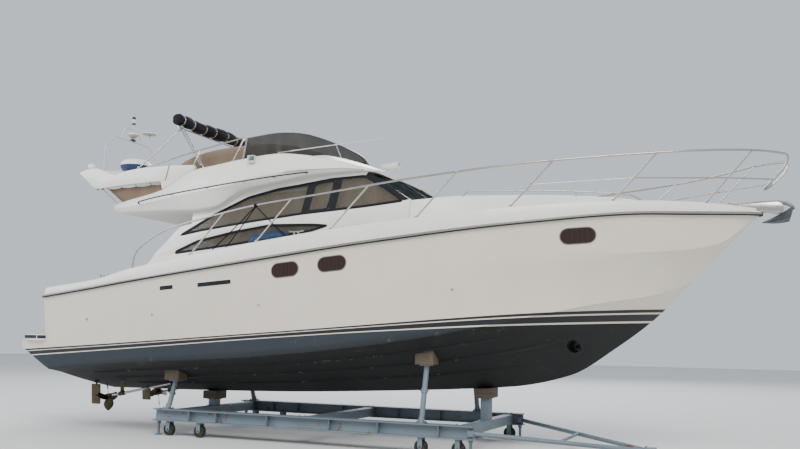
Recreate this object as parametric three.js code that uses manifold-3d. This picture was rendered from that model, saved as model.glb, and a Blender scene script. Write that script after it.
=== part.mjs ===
// A flybridge motor yacht of about 13 m, stored ashore on its wheeled steel cradle. Millimetres, +Z up.
// Inside the tables x runs forward from the transom, y to port, and z up from the ground. The whole
// group is then shifted along x so that its origin lies under the middle of the part's box.
import * as THREE from "three";
import { mergeVertices } from "three/addons/utils/BufferGeometryUtils.js";
import Module from "manifold-3d";

const wasm = await Module();
wasm.setup();

// Driving dimensions
const GAP = 0.4; // between pieces that touch
const SLIVER = 0.02; // edges shorter than this are closed up after a cut or a join
const MID_X = 5950; // middle of the part's box, from the transom
const SIDES = [
  { name: "starboard", sign: -1 },
  { name: "port", sign: 1 },
];

// Turns rows of numbers into objects whose keys are the column names.
function table(columns, rows) {
  const names = columns.split(" ");
  return rows.map((row) => Object.fromEntries(names.map((name, i) => [name, row[i]])));
}

// Reads one column of a table at x, straight between its rows.
function along(rows, column, x) {
  const last = rows.length - 1;
  if (x <= rows[0].x) return rows[0][column];
  for (let i = 0; i < last; i++) {
    const a = rows[i];
    const b = rows[i + 1];
    if (x <= b.x) return a[column] + ((b[column] - a[column]) * (x - a.x)) / (b.x - a.x);
  }
  return rows[last][column];
}

// Hull sections, half breadths and heights. rail is the bulwark's top, which the deck moulding carries.
const HULL = table("x keel chineY chine knuckleY knuckle sheerY sheer rail", [
  [-640, 690, 1560, 1020, 1690, 1650, 1745, 2345, 2480],
  [0, 680, 1600, 1060, 1750, 1720, 1850, 2410, 2560],
  [1200, 692, 1665, 1165, 1835, 1890, 1925, 2550, 2690],
  [2000, 700, 1705, 1235, 1890, 2015, 1975, 2650, 2860],
  [4000, 740, 1775, 1345, 1965, 2285, 2045, 2880, 3155],
  [6000, 825, 1765, 1530, 1945, 2525, 2035, 3115, 3400],
  [7400, 905, 1620, 1730, 1830, 2700, 1930, 3272, 3535],
  [8400, 985, 1420, 1930, 1650, 2825, 1770, 3385, 3640],
  [9300, 1190, 1120, 2135, 1380, 2915, 1520, 3480, 3715],
  [10000, 1620, 790, 2290, 1110, 2975, 1260, 3555, 3760],
  [10600, 2075, 440, 2400, 830, 3025, 980, 3600, 3778],
  [11100, 2575, 90, 2610, 540, 3075, 720, 3612, 3782],
  [11600, 3080, 45, 3100, 270, 3190, 430, 3628, 3765],
  [12000, 3480, 18, 3490, 90, 3520, 180, 3642, 3728],
  [12150, 3625, 8, 3630, 14, 3636, 22, 3650, 3715],
]);
const DECK_BELOW_RAIL = 70;
const COCKPIT = { x0: 300, x1: 3090, halfY: 1450, sole: 2000 };
const SALOON = { x0: 3090, x1: 6950, halfY: 1400, sole: 2150 };
const ENGINE_ROOM = { x0: 900, x1: 2450, halfY: 1150, floor: 1180, roof: 1940 };
const ENGINE_HATCH = { x0: 1230, x1: 2080, halfY: 430 };
const GATE = { y0: -1320, y1: -720 };
const LEDGE = 1585; // the hull's top under the swim platform
const TUNNEL = { x: 9440, z: 1640, r: 96, podEnd: 60 };
const SHAFT = { x0: 640, z0: 560, x1: 2250, z1: 880, y: 720, r: 22 };
const RUDDER = { x: 330, y: 720, top: 778, stock: 20, bearing: 806, bearingR: 40 };

// Coachroof ahead of the windscreen
const TRUNK = table("x baseY topY z", [
  [7105, 1500, 1440, 3885],
  [7900, 1340, 1180, 3955],
  [8900, 1150, 930, 3950],
  [9900, 830, 640, 3915],
  [10500, 540, 380, 3860],
  [10900, 300, 170, 3800],
]);
const TRUNK_CROWN = 30;
const FORE_HATCH = { x: 9050, size: 560 };

// Flybridge moulding. low is the lower edge, wide the widest line, top the coaming, and in and mid are
// the inside surface by the coaming and on the centreline: the well's floor aft, the brow forward.
const FLY = table("x lowY low wideY wide topY top in mid", [
  [1300, 1560, 3935, 1610, 4000, 1590, 4072, 4030, 4035],
  [1600, 1640, 3900, 1700, 4010, 1620, 4130, 4039, 4045],
  [2350, 1660, 3890, 1740, 4060, 1620, 4280, 4062, 4070],
  [3050, 1650, 3880, 1750, 4110, 1620, 4600, 4083, 4090],
  [3500, 1640, 3905, 1750, 4170, 1615, 4660, 4096, 4104],
  [4050, 1620, 4170, 1730, 4300, 1600, 4730, 4113, 4120],
  [4700, 1590, 4275, 1690, 4400, 1570, 4782, 4132, 4140],
  [5250, 1560, 4355, 1640, 4450, 1530, 4725, 4149, 4157],
  [5300, 1555, 4360, 1635, 4450, 1525, 4715, 4730, 4880],
  [5840, 1510, 4390, 1560, 4450, 1455, 4600, 4615, 4740],
  [6190, 1475, 4400, 1500, 4430, 1400, 4500, 4512, 4600],
  [6500, 1440, 4370, 1450, 4385, 1370, 4425, 4432, 4490],
]);
const FLY_FLOOR = { x: 1300, z: 4030, rise: 0.03 };
const CEILING_UNDER_FLOOR = 60;
const STAIRWELL = { x0: 1550, x1: 2200, y0: 800, y1: 1400 };

// Deckhouse sides lean in as they rise and close in a little as they go forward.
const SIDE = { y: 1620, z: 3200, leanIn: 0.13, x: 3000, closeIn: 0.02, thick: 60 };
const sideY = (x, z) => SIDE.y - SIDE.leanIn * (z - SIDE.z) - SIDE.closeIn * (x - SIDE.x);

const UPPER_WINDOW = [
  [2800, 3450], [3220, 3520], [4220, 3640], [5180, 3735], [6330, 3810], [6980, 3870], [6900, 3945],
  [6640, 4120], [6290, 4330], [5690, 4310], [5130, 4240], [4680, 4190], [4120, 4075], [3440, 3790],
];
const LOWER_WINDOW = [
  [2760, 3170], [2760, 3130], [4000, 3260], [5400, 3440], [5690, 3520], [5410, 3550], [4610, 3570],
  [3910, 3480], [3180, 3340],
];

const colours = {
  gelcoat: [0xe9e6df, 0.35, 0],
  darkTrim: [0x3a3c3f, 0.6, 0],
  smokedGlass: [0x2b2a28, 0.1, 0],
  acrylic: [0x6b6259, 0.15, 0],
  stainless: [0xc9ccce, 0.25, 1],
  brownCanvas: [0x7a6350, 0.9, 0],
  blackCanvas: [0x1d1e22, 0.9, 0],
  whitePaint: [0xdfe3e4, 0.4, 0],
  galvanised: [0x9aa3a8, 0.55, 0.6],
  cradleBlue: [0x7c8c97, 0.6, 0.4],
  timber: [0x8a6a4a, 0.85, 0],
  blackRubber: [0x1b1b1c, 0.85, 0],
  bronze: [0x8f7440, 0.4, 1],
  engineGrey: [0x8c9396, 0.6, 0.5],
  fenderBlue: [0x2f5f9e, 0.45, 0],
  cushion: [0xcfc6b6, 0.85, 0],
  radarWhite: [0xe8ecee, 0.4, 0],
};
const materials = {};
for (const [name, [color, roughness, metalness]] of Object.entries(colours)) {
  materials[name] = new THREE.MeshStandardMaterial({ color, roughness, metalness });
}

// Solids for cuts and joins
function solidOf(geometry) {
  const loose = geometry.index ? geometry.toNonIndexed() : geometry;
  const bare = new THREE.BufferGeometry().setAttribute("position", loose.getAttribute("position"));
  const merged = mergeVertices(bare, 1e-3);
  const triVerts = new Uint32Array(merged.index.array);
  const vertProperties = merged.attributes.position.array;
  return new wasm.Manifold(new wasm.Mesh({ numProp: 3, vertProperties, triVerts }));
}

function geometryOf(solid) {
  const mesh = solid.getMesh();
  const positions = new Float32Array(mesh.numVert * 3);
  for (let i = 0; i < mesh.numVert; i++) {
    const from = i * mesh.numProp;
    positions.set(mesh.vertProperties.subarray(from, from + 3), i * 3);
  }
  const geometry = new THREE.BufferGeometry();
  geometry.setAttribute("position", new THREE.BufferAttribute(positions, 3));
  geometry.setIndex(new THREE.BufferAttribute(new Uint32Array(mesh.triVerts), 1));
  return geometry;
}

const join = (...geometries) => geometries.map(solidOf).reduce((whole, next) => whole.add(next));
const cut = (solid, ...geometries) =>
  geometries.map(solidOf).reduce((whole, tool) => whole.subtract(tool), solid);

const part = new THREE.Group();
part.position.x = -MID_X;
function add(name, shape, material) {
  const geometry = shape.isBufferGeometry ? shape : geometryOf(shape.simplify(SLIVER));
  const mesh = new THREE.Mesh(geometry, materials[material]);
  mesh.name = name;
  part.add(mesh);
}

// The two caps of a loft, each turned outwards.
function capTriangles(ring, first, alongRing) {
  const normal = new THREE.Vector3();
  ring.forEach((p, i) => {
    const q = ring[(i + 1) % ring.length];
    normal.x += (p[1] - q[1]) * (p[2] + q[2]);
    normal.y += (p[2] - q[2]) * (p[0] + q[0]);
    normal.z += (p[0] - q[0]) * (p[1] + q[1]);
  });
  const size = normal.toArray().map(Math.abs);
  const drop = size.indexOf(Math.max(...size));
  const [u, v] = [0, 1, 2].filter((axis) => axis !== drop);
  const flat = ring.map((p) => new THREE.Vector2(p[u], p[v]));
  const turn = Math.sign(THREE.ShapeUtils.area(flat));
  const out = [];
  for (const [a, b, c] of THREE.ShapeUtils.triangulateShape(flat.slice(), [])) {
    const same = Math.sign(THREE.ShapeUtils.area([flat[a], flat[b], flat[c]])) === turn;
    if (same === alongRing) out.push(first + a, first + b, first + c);
    else out.push(first + a, first + c, first + b);
  }
  return out;
}

// A closed solid through rings of equal length, whichever way round they run.
function loft(rings) {
  const n = rings[0].length;
  const index = [];
  for (let i = 0; i + 1 < rings.length; i++) {
    for (let j = 0; j < n; j++) {
      const a = i * n + j;
      const b = i * n + ((j + 1) % n);
      index.push(a, b, b + n, a, b + n, a + n);
    }
  }
  index.push(...capTriangles(rings[0], 0, false));
  index.push(...capTriangles(rings[rings.length - 1], (rings.length - 1) * n, true));
  const geometry = new THREE.BufferGeometry();
  geometry.setAttribute("position", new THREE.Float32BufferAttribute(rings.flat(2), 3));
  geometry.setIndex(index);
  if (solidOf(geometry).volume() < 0) {
    for (let i = 0; i < index.length; i += 3) [index[i], index[i + 1]] = [index[i + 1], index[i]];
    geometry.setIndex(index);
  }
  return geometry;
}

// A ring across the boat from its starboard half, listed from the keel side up to the other end.
function mirrored(x, half) {
  const port = half.map(([y, z]) => [x, y, z]);
  const starboard = half.filter(([y]) => y !== 0).map(([y, z]) => [x, -y, z]);
  return [...port, ...starboard.reverse()];
}

const shapeOf = (points) => new THREE.Shape(points.map(([a, b]) => new THREE.Vector2(a, b)));
const extruded = (shape, depth) => new THREE.ExtrudeGeometry(shape, { depth, bevelEnabled: false });
const TO_SIDE = new THREE.Matrix4().makeRotationX(Math.PI / 2);
const TO_FRONT = new THREE.Matrix4().makeBasis(
  new THREE.Vector3(0, 1, 0),
  new THREE.Vector3(0, 0, 1),
  new THREE.Vector3(1, 0, 0),
);

// Outlines given as (x, z), (y, z) or (x, y), run between two values of the third coordinate.
function sidePlate(points, y0, y1) {
  return extruded(shapeOf(points), y1 - y0).applyMatrix4(TO_SIDE).translate(0, y1, 0);
}
function frontPlate(points, x0, x1) {
  return extruded(shapeOf(points), x1 - x0).applyMatrix4(TO_FRONT).translate(x0, 0, 0);
}
function flatPlate(points, z0, z1) {
  return extruded(shapeOf(points), z1 - z0).translate(0, 0, z0);
}
function box(x0, x1, y0, y1, z0, z1) {
  const block = new THREE.BoxGeometry(x1 - x0, y1 - y0, z1 - z0);
  return block.translate((x0 + x1) / 2, (y0 + y1) / 2, (z0 + z1) / 2);
}

function rod(from, to, radius, sides = 8, endRadius = radius) {
  const a = new THREE.Vector3(...from);
  const b = new THREE.Vector3(...to);
  const turn = new THREE.Quaternion();
  turn.setFromUnitVectors(new THREE.Vector3(0, 1, 0), b.clone().sub(a).normalize());
  const geometry = new THREE.CylinderGeometry(endRadius, radius, a.distanceTo(b), sides);
  geometry.applyQuaternion(turn);
  const middle = a.add(b).multiplyScalar(0.5);
  return geometry.translate(middle.x, middle.y, middle.z);
}

function tube(points, radius, steps, sides = 8) {
  const path = new THREE.CatmullRomCurve3(points.map((p) => new THREE.Vector3(...p)));
  const round = [];
  for (let i = 0; i < sides; i++) {
    const angle = (2 * Math.PI * i) / sides;
    round.push([radius * Math.cos(angle), radius * Math.sin(angle)]);
  }
  const options = { steps, extrudePath: path, bevelEnabled: false };
  return new THREE.ExtrudeGeometry(shapeOf(round), options);
}

// Mirrors a shape built for the port side when sign is -1.
function onSide(geometry, sign) {
  const copy = geometry.index ? geometry.toNonIndexed() : geometry.clone();
  if (sign > 0) return copy;
  const position = copy.getAttribute("position");
  const array = position.array;
  for (let i = 0; i < array.length; i += 9) {
    for (let k = 0; k < 3; k++) {
      [array[i + k], array[i + 3 + k]] = [array[i + 3 + k], array[i + k]];
    }
  }
  for (let i = 1; i < array.length; i += 3) array[i] = -array[i];
  return new THREE.BufferGeometry().setAttribute("position", position);
}

// Trims what reaches into the piece that carries it, and leaves the usual gap.
const seatedOn = (shape, carrier) => solidOf(shape).subtract(carrier.translate([0, 0, GAP]));
const seatedUnder = (shape, carrier) => solidOf(shape).subtract(carrier.translate([0, 0, -GAP]));

// Hull
const deckZ = (x) => along(HULL, "rail", x) - DECK_BELOW_RAIL;
const ABOVE = 5000;
const wells = [
  box(COCKPIT.x0, COCKPIT.x1, -COCKPIT.halfY, COCKPIT.halfY, COCKPIT.sole, ABOVE),
  box(SALOON.x0, SALOON.x1, -SALOON.halfY, SALOON.halfY, SALOON.sole, ABOVE),
  box(-10, COCKPIT.x0 + 10, GATE.y0, GATE.y1, COCKPIT.sole, ABOVE),
];
const HATCH_REBATE = { wider: 40, depth: 36 };
const BOSS = { x0: 2100, x1: 2700, r: 45 };
const SHAFT_SLOPE = (SHAFT.z1 - SHAFT.z0) / (SHAFT.x1 - SHAFT.x0);
const shaftZ = (x) => SHAFT.z0 + SHAFT_SLOPE * (x - SHAFT.x0);

// The bow thruster's gearbox, hung from the top of its tunnel
function thrusterLeg() {
  const { x, z, r, podEnd } = TUNNEL;
  return join(rod([x, -podEnd, z], [x, podEnd, z], 36, 12), rod([x, 0, z], [x, 0, z + r + 6], 12));
}

function hullSolid() {
  const rings = HULL.map((s) =>
    mirrored(s.x, [
      [0, s.keel],
      [s.chineY / 2, (s.keel + s.chine) / 2 - 20 * Math.min(1, s.chineY / 1000)],
      [s.chineY, s.chine],
      [s.chineY + 0.025 * s.chineY, s.chine + 4],
      [s.knuckleY, s.knuckle],
      [s.sheerY, s.sheer],
      [0, s.sheer],
    ]),
  );
  // Under the swim platform the stern rises aft from the foot of the transom.
  const sternCut = [
    [-1000, 0], [120, 0], [120, 1020], [-100, 1140], [-620, 1450], [-1000, 1450],
  ];
  const { x0, x1, halfY, floor, roof } = ENGINE_ROOM;
  const hatch = ENGINE_HATCH;
  const { wider, depth } = HATCH_REBATE;
  const sole = COCKPIT.sole;
  let hull = cut(
    solidOf(loft(rings)),
    ...wells,
    box(-1000, 0, -3000, 3000, LEDGE, ABOVE),
    sidePlate(sternCut, -3000, 3000),
    box(x0, x1, -halfY, halfY, floor, roof),
    box(hatch.x0, hatch.x1, -hatch.halfY, hatch.halfY, sole - depth, ABOVE),
    box(hatch.x0 + wider, hatch.x1 - wider, wider - hatch.halfY, hatch.halfY - wider, roof - 10, ABOVE),
    rod([TUNNEL.x, -2000, TUNNEL.z], [TUNNEL.x, 2000, TUNNEL.z], TUNNEL.r, 24),
  );
  for (const { sign } of SIDES) {
    const y = sign * SHAFT.y;
    const boss = rod([BOSS.x0, y, shaftZ(BOSS.x0)], [BOSS.x1, y, shaftZ(BOSS.x1)], BOSS.r, 12);
    const bearing = rod([RUDDER.x, y, RUDDER.bearing], [RUDDER.x, y, 900], RUDDER.bearingR, 16);
    hull = hull.add(join(boss, bearing));
  }
  return hull.add(thrusterLeg());
}
const hull = hullSolid();
add("hull", hull, "gelcoat");

// Deck moulding: bulwark, side decks, coachroof and the hatch's raised frame
function deckSolid() {
  const rings = HULL.filter((s) => s.x >= 0).map((s) => {
    const k = Math.min(1, s.sheerY / 200);
    const floor = s.rail - DECK_BELOW_RAIL * k;
    return mirrored(s.x, [
      [0, s.sheer + GAP],
      [s.sheerY - 8 * k, s.sheer + GAP],
      [s.sheerY - 30 * k, s.rail - 25 * k],
      [s.sheerY - 55 * k, s.rail],
      [s.sheerY - 110 * k, s.rail],
      [s.sheerY - 165 * k, floor],
      [0, floor],
    ]);
  });
  const trunk = TRUNK.map((s) =>
    mirrored(s.x, [
      [0, deckZ(s.x) - 20],
      [s.baseY, deckZ(s.x) - 20],
      [s.topY, s.z],
      [0, s.z + TRUNK_CROWN],
    ]),
  );
  const half = FORE_HATCH.size / 2;
  const frame = box(FORE_HATCH.x - half, FORE_HATCH.x + half, -half, half, 3700, FORE_HATCH.z);
  const dash = box(SALOON.x1 - 20, 7200, -1385, 1385, 3300, TRUNK[0].z);
  return cut(solidOf(loft(rings)), ...wells).add(join(loft(trunk), dash, frame));
}
FORE_HATCH.z = along(TRUNK, "z", FORE_HATCH.x) + TRUNK_CROWN + 15;
const deck = deckSolid();
add("deck", deck, "gelcoat");

// Rub rail along the joint of hull and deck, mitred at each section
function rubRail() {
  const half = HULL.filter((s) => s.x >= 0).map((s) => [s.x, s.sheerY, s.sheer]);
  const path = [...half, ...half.map(([x, y, z]) => [x, -y, z]).reverse()];
  const normals = path.slice(1).map(([x, y], i) => {
    const [x0, y0] = path[i];
    const length = Math.hypot(x - x0, y - y0);
    return [-(y - y0) / length, (x - x0) / length];
  });
  const section = [
    [0.6, -45], [30, -45], [45, -30], [45, 8], [30, 22], [0.6, 22],
  ];
  const rings = path.map(([x, y, z], i) => {
    const a = normals[Math.max(0, i - 1)];
    const b = normals[Math.min(i, normals.length - 1)];
    const scale = 1 / (1 + a[0] * b[0] + a[1] * b[1]);
    const out = [(a[0] + b[0]) * scale, (a[1] + b[1]) * scale];
    return section.map(([offset, up]) => [x + out[0] * offset, y + out[1] * offset, z + up]);
  });
  return loft(rings);
}
add("rub_rail", rubRail(), "darkTrim");

// Swim platform and transom gate
const platform = [
  [-GAP, -1800], [-GAP, 1800], [-300, 1790], [-560, 1700], [-700, 1500], [-740, 1200],
  [-740, -1200], [-700, -1500], [-560, -1700], [-300, -1790],
];
add("swim_platform", flatPlate(platform, LEDGE + GAP, 1700), "gelcoat");
const GATE_HINGE = { x: 14, y: GATE.y0 + 7, r: 6.6 };
const gatePanel = box(GATE_HINGE.x, 54, GATE_HINGE.y, GATE.y1 - 8, 2012, 2560);
const gatePin = rod([GATE_HINGE.x, GATE_HINGE.y, 2050], [GATE_HINGE.x, GATE_HINGE.y, 2540], GATE_HINGE.r);
add("transom_gate", join(gatePanel, gatePin), "gelcoat");

// Flybridge moulding
const floorZ = (x) => FLY_FLOOR.z + FLY_FLOOR.rise * (x - FLY_FLOOR.x);
const BROW_X = 5300; // ahead of this the moulding closes down to the brow
const floorAt = (s) => (s.x <= BROW_X ? floorZ(s.x) : s.low + CEILING_UNDER_FLOOR);
function flySolid() {
  const rings = FLY.map((s) => {
    const ceiling = Math.min(s.low, floorAt(s) - CEILING_UNDER_FLOOR);
    return mirrored(s.x, [
      [0, ceiling],
      [1320, ceiling],
      [1330, s.low],
      [s.lowY, s.low],
      [s.wideY, s.wide],
      [s.topY, s.top],
      [s.topY - 90, s.top],
      [s.topY - 140, s.in],
      [0, s.mid],
    ]);
  });
  const { x0, x1, y0, y1 } = STAIRWELL;
  return cut(solidOf(loft(rings)), box(x0, x1, y0, y1, 3000, ABOVE));
}
const fly = flySolid();
add("flybridge", fly, "gelcoat");

// Deckhouse: two leaning sides with their windows cut, tied by the bulkhead at the cockpit
const DOORWAY = { y0: -1300, y1: 700, z0: 2150, z1: 3780 };
const BULKHEAD = { x0: 3020, x1: 3080 };
const wingEdge = [
  [3010, 3650], [2770, 3590], [2530, 3350], [2330, 3160], [2150, 2940], [1700, 2800], [1400, 2700],
];
function sidePanel(outline, y0, y1) {
  const geometry = sidePlate(outline, y0, y1);
  const position = geometry.getAttribute("position");
  for (let i = 0; i < position.count; i++) {
    const lean = sideY(position.getX(i), position.getZ(i));
    position.setY(i, position.getY(i) + lean);
  }
  return geometry;
}
function deckhouse() {
  const front = [[7100, 3890], [6330, along(FLY, "low", 6330) - GAP]];
  const bottom = [1400, 2000, 4000, 6000, 7100].map((x) => [x, deckZ(x) + GAP]);
  const top = FLY.filter((s) => s.x > 3010 && s.x < 6330).map((s) => [s.x, s.low - GAP]);
  const wingTop = [3010, along(FLY, "low", 3010) - GAP];
  const outline = [...bottom, ...front, ...top.reverse(), wingTop, ...wingEdge];
  const wall = cut(
    solidOf(sidePanel(outline, -SIDE.thick, 0)),
    sidePanel(UPPER_WINDOW, -300, 300),
    sidePanel(LOWER_WINDOW, -300, 300),
  );
  const wallGeometry = geometryOf(wall);
  const { x0, x1 } = BULKHEAD;
  const top0 = along(FLY, "low", 3050) - GAP;
  const overDeck = deckZ(x1) + 5;
  const wide = COCKPIT.halfY - GAP;
  const reach = (z) => sideY(x0, z) - SIDE.thick + 10;
  const half = [
    [wide, COCKPIT.sole + GAP], [wide, overDeck], [reach(overDeck), overDeck], [reach(top0), top0],
  ];
  const bulkhead = frontPlate([...half, ...half.map(([y, z]) => [-y, z]).reverse()], x0, x1);
  const opening = box(x0 - 10, x1 + 10, DOORWAY.y0, DOORWAY.y1, DOORWAY.z0, DOORWAY.z1);
  return join(onSide(wallGeometry, 1), onSide(wallGeometry, -1)).add(cut(solidOf(bulkhead), opening));
}
add("deckhouse", deckhouse(), "gelcoat");

// Saloon door: a fixed panel to starboard and one that slides behind it
const DOOR = { fixedX: 3025, slidingX: 3055, thick: 20, edge: 6, lap: 30 };
const doorMiddle = (DOORWAY.y0 + DOORWAY.y1) / 2;
function doorPanel(x, y0, y1) {
  return box(x, x + DOOR.thick, y0, y1, DOORWAY.z0 + GAP, DOORWAY.z1 - DOOR.edge);
}
add(
  "saloon_door_fixed",
  doorPanel(DOOR.fixedX, DOORWAY.y0 + GAP, doorMiddle + DOOR.lap),
  "smokedGlass",
);
add(
  "saloon_door_sliding",
  doorPanel(DOOR.slidingX, doorMiddle - DOOR.lap, DOORWAY.y1 - DOOR.edge),
  "smokedGlass",
);

// Side windows, set into their openings with a small clearance all round
function shrunk(points, by) {
  return points.map(([x, z], i) => {
    const [px, pz] = points[(i + points.length - 1) % points.length];
    const [nx, nz] = points[(i + 1) % points.length];
    const a = Math.hypot(x - px, z - pz);
    const b = Math.hypot(nx - x, nz - z);
    const normalA = [-(z - pz) / a, (x - px) / a];
    const normalB = [-(nz - z) / b, (nx - x) / b];
    const scale = by / Math.max(0.35, 1 + normalA[0] * normalB[0] + normalA[1] * normalB[1]);
    return [x + (normalA[0] + normalB[0]) * scale, z + (normalA[1] + normalB[1]) * scale];
  });
}
const PANE = { outer: -8, inner: -20, edge: 0.5 };
for (const { name, sign } of SIDES) {
  for (const [level, outline] of [["upper", UPPER_WINDOW], ["lower", LOWER_WINDOW]]) {
    const pane = sidePanel(shrunk(outline, PANE.edge), PANE.inner, PANE.outer);
    add(`window_${level}_${name}`, onSide(pane, sign), "smokedGlass");
  }
}

// Windscreen of the saloon, bowed forward between the sides
const SCREEN = { top: 1332, base: 1380, topX: 6250, topBow: 200, baseX: 7050, baseBow: 300, thick: 14 };
function windshield() {
  const rings = [];
  for (let i = 0; i <= 12; i++) {
    const u = i / 6 - 1;
    const bow = 1 - Math.abs(u) ** 2.2;
    const top = [SCREEN.topX + SCREEN.topBow * bow, SCREEN.top * u, 4440];
    const base = [SCREEN.baseX + SCREEN.baseBow * bow, SCREEN.base * u, 3850];
    const inside = ([x, y, z]) => [x - 0.5 * SCREEN.thick, y, z - 0.85 * SCREEN.thick];
    rings.push([base, top, inside(top), inside(base)]);
  }
  return rings;
}
add("windshield", seatedUnder(geometryOf(seatedOn(loft(windshield()), deck)), fly), "smokedGlass");

// Acrylic screen round the front of the flybridge
const FLY_SCREEN = table("x y topX topY topZ", [
  [4010, 1555, 4010, 1440, 5130],
  [4650, 1530, 4600, 1410, 5175],
  [5200, 1490, 4960, 1240, 5150],
  [5430, 1250, 5120, 920, 5105],
  [5600, 850, 5200, 480, 5070],
  [5670, 430, 5225, 220, 5055],
  [5685, 0, 5232, 0, 5050],
]);
function flyScreen() {
  const starboard = FLY_SCREEN.slice(0, -1).map((s) => ({ ...s, y: -s.y, topY: -s.topY }));
  const across = [...FLY_SCREEN, ...starboard.reverse()];
  const thick = 14;
  const rings = across.map((s, i) => {
    const before = across[Math.max(0, i - 1)];
    const after = across[Math.min(across.length - 1, i + 1)];
    const along2 = [after.x - before.x, after.y - before.y];
    const size = Math.hypot(...along2);
    const out = [(along2[1] / size) * -thick, (along2[0] / size) * thick];
    const base = [s.x, s.y, 4620];
    const slope = 480 / (s.topZ - 4700);
    const low = [s.topX + (s.x - s.topX) * slope, s.topY + (s.y - s.topY) * slope, base[2]];
    const top = [s.topX, s.topY, s.topZ];
    const inside = ([x, y, z]) => [x - out[0], y - out[1], z];
    return [low, top, inside(top), inside(low)];
  });
  return loft(rings);
}
add("fly_windscreen", seatedOn(flyScreen(), fly), "acrylic");

// Canvas cover over the helm and seats of the flybridge
const COVER = table("x floorY topY top", [
  [2290, 1290, 1240, 4700],
  [2700, 1300, 1250, 4900],
  [3300, 1300, 1240, 5010],
  [4000, 1300, 1220, 5060],
  [4600, 1290, 1180, 5010],
  [5180, 1250, 1050, 4860],
]);
function flyCover() {
  const rings = COVER.map((s) => {
    const floor = floorZ(s.x) + 8;
    return mirrored(s.x, [
      [0, floor],
      [s.floorY, floor],
      [s.floorY + 30, 4700],
      [s.topY, s.top],
      [s.topY * 0.6, s.top + 50],
      [0, s.top + 60],
    ]);
  });
  return loft(rings);
}
add("fly_cover", seatedOn(flyCover(), fly), "brownCanvas");

// Radar arch: a blade on each coaming, a crowned beam between their tips and two stays a side
const ARCH = { y0: 1530, y1: 1618, beamY: 1560 };
const BEAM_RISE = table("x rise", [
  [0, 190],
  [770, 150],
  [1560, 0],
]);
function radarArch() {
  const seam = (x) => [x, along(FLY, "top", x) + GAP];
  const blade = [
    [270, 4740], [440, 4600], [700, 4410], [940, 4440], [1870, 4480], [2330, 4440],
    seam(2360), seam(3040), [3040, 4690], [2510, 4716], [1850, 4712], [1500, 4680], [1100, 4640],
    [900, 4740], [600, 4810], [420, 4800],
  ];
  const chord = [
    [150, 4690], [230, 4745], [450, 4750], [800, 4720], [960, 4640], [900, 4560], [600, 4500], [300, 4560],
  ];
  const rings = [-ARCH.beamY, -770, 0, 770, ARCH.beamY].map((y) => {
    const rise = along(BEAM_RISE, "rise", Math.abs(y));
    return chord.map(([x, z]) => [x, y, z + rise]);
  });
  let arch = solidOf(loft(rings));
  for (const { sign } of SIDES) {
    arch = arch.add(solidOf(onSide(sidePlate(blade, ARCH.y0, ARCH.y1), sign)));
    for (const shift of [0, 110]) {
      const stay = rod([860 + shift, sign * 1575, 4460], [1345 + shift, sign * 1560, 4070], 14);
      arch = arch.add(seatedOn(stay, fly));
    }
  }
  return arch;
}
const arch = radarArch();
add("radar_arch", arch, "gelcoat");

// Radar dome on its pedestal
const beamTop = 4745 + BEAM_RISE[0].rise;
const RADAR = { x: 330, r: 303, z0: 5030, z1: 5300 };
function radarDome() {
  const half = RADAR.z1 - RADAR.z0;
  const profile = [
    [0, 0], [170, 0], [250, 0.12 * half], [295, 0.38 * half], [RADAR.r, 0.55 * half],
    [280, 0.8 * half], [200, 0.95 * half], [90, half], [0, half],
  ].map(([r, z]) => new THREE.Vector2(r, z));
  const dome = new THREE.LatheGeometry(profile, 20).rotateX(Math.PI / 2);
  dome.translate(RADAR.x, 0, RADAR.z0);
  const pedestal = rod([RADAR.x, 0, beamTop - 20], [RADAR.x, 0, RADAR.z0 + 10], 70, 12);
  return join(geometryOf(seatedOn(pedestal, arch)), dome);
}
add("radar_dome", radarDome(), "radarWhite");

// Mast: two hoops, an all-round light, a small dome and a disc aerial
function mastFrame() {
  const x = 215;
  const half = [
    [770, 4800], [770, 5460], [560, 5670], [350, 5712],
  ];
  const hoop = [...half, ...half.map(([y, z]) => [-y, z]).reverse()].map(([y, z]) => [x, y, z]);
  const small = [
    [x, -350, 5712], [x, -200, 5950], [x, 200, 5950], [x, 350, 5712],
  ];
  const pieces = [];
  for (const line of [hoop, small]) {
    for (let i = 1; i < line.length; i++) pieces.push(rod(line[i - 1], line[i], 16, 6));
    for (const p of line.slice(1, -1)) pieces.push(new THREE.SphereGeometry(21, 8, 6).translate(...p));
  }
  pieces.push(rod([x, 0, 5950], [x, 0, 6130], 12));
  pieces.push(rod([x, 0, 6060], [x, 0, 6230], 42, 12));
  pieces.push(rod([x, 0, 5712], [x, 0, 5800], 14));
  pieces.push(new THREE.SphereGeometry(100, 12, 8).scale(1, 1, 0.6).translate(x, 0, 5830));
  pieces.push(rod([x, 480, 5690], [x, 480, 5955], 12));
  pieces.push(rod([x, 480, 5945], [x, 480, 5985], 155, 16, 130));
  return seatedOn(geometryOf(join(...pieces)), arch);
}
add("mast_frame", mastFrame(), "whitePaint");

// Handrails along the flybridge coaming
for (const { name, sign } of SIDES) {
  const rail = [
    [1930, 1575, 4727], [2300, 1562, 4800], [3070, 1520, 4970], [3990, 1500, 5125],
  ].map(([x, y, z]) => [x, sign * y, z]);
  const pieces = [
    tube(rail, 12, 10),
    rod([2950, sign * 1575, 4660], [3070, sign * 1520, 4970], 13),
    rod([3820, sign * 1568, 4660], [3982, sign * 1501, 5122], 13),
  ];
  add(`fly_rail_${name}`, seatedOn(geometryOf(join(...pieces)), arch.add(fly)), "stainless");
}

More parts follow.
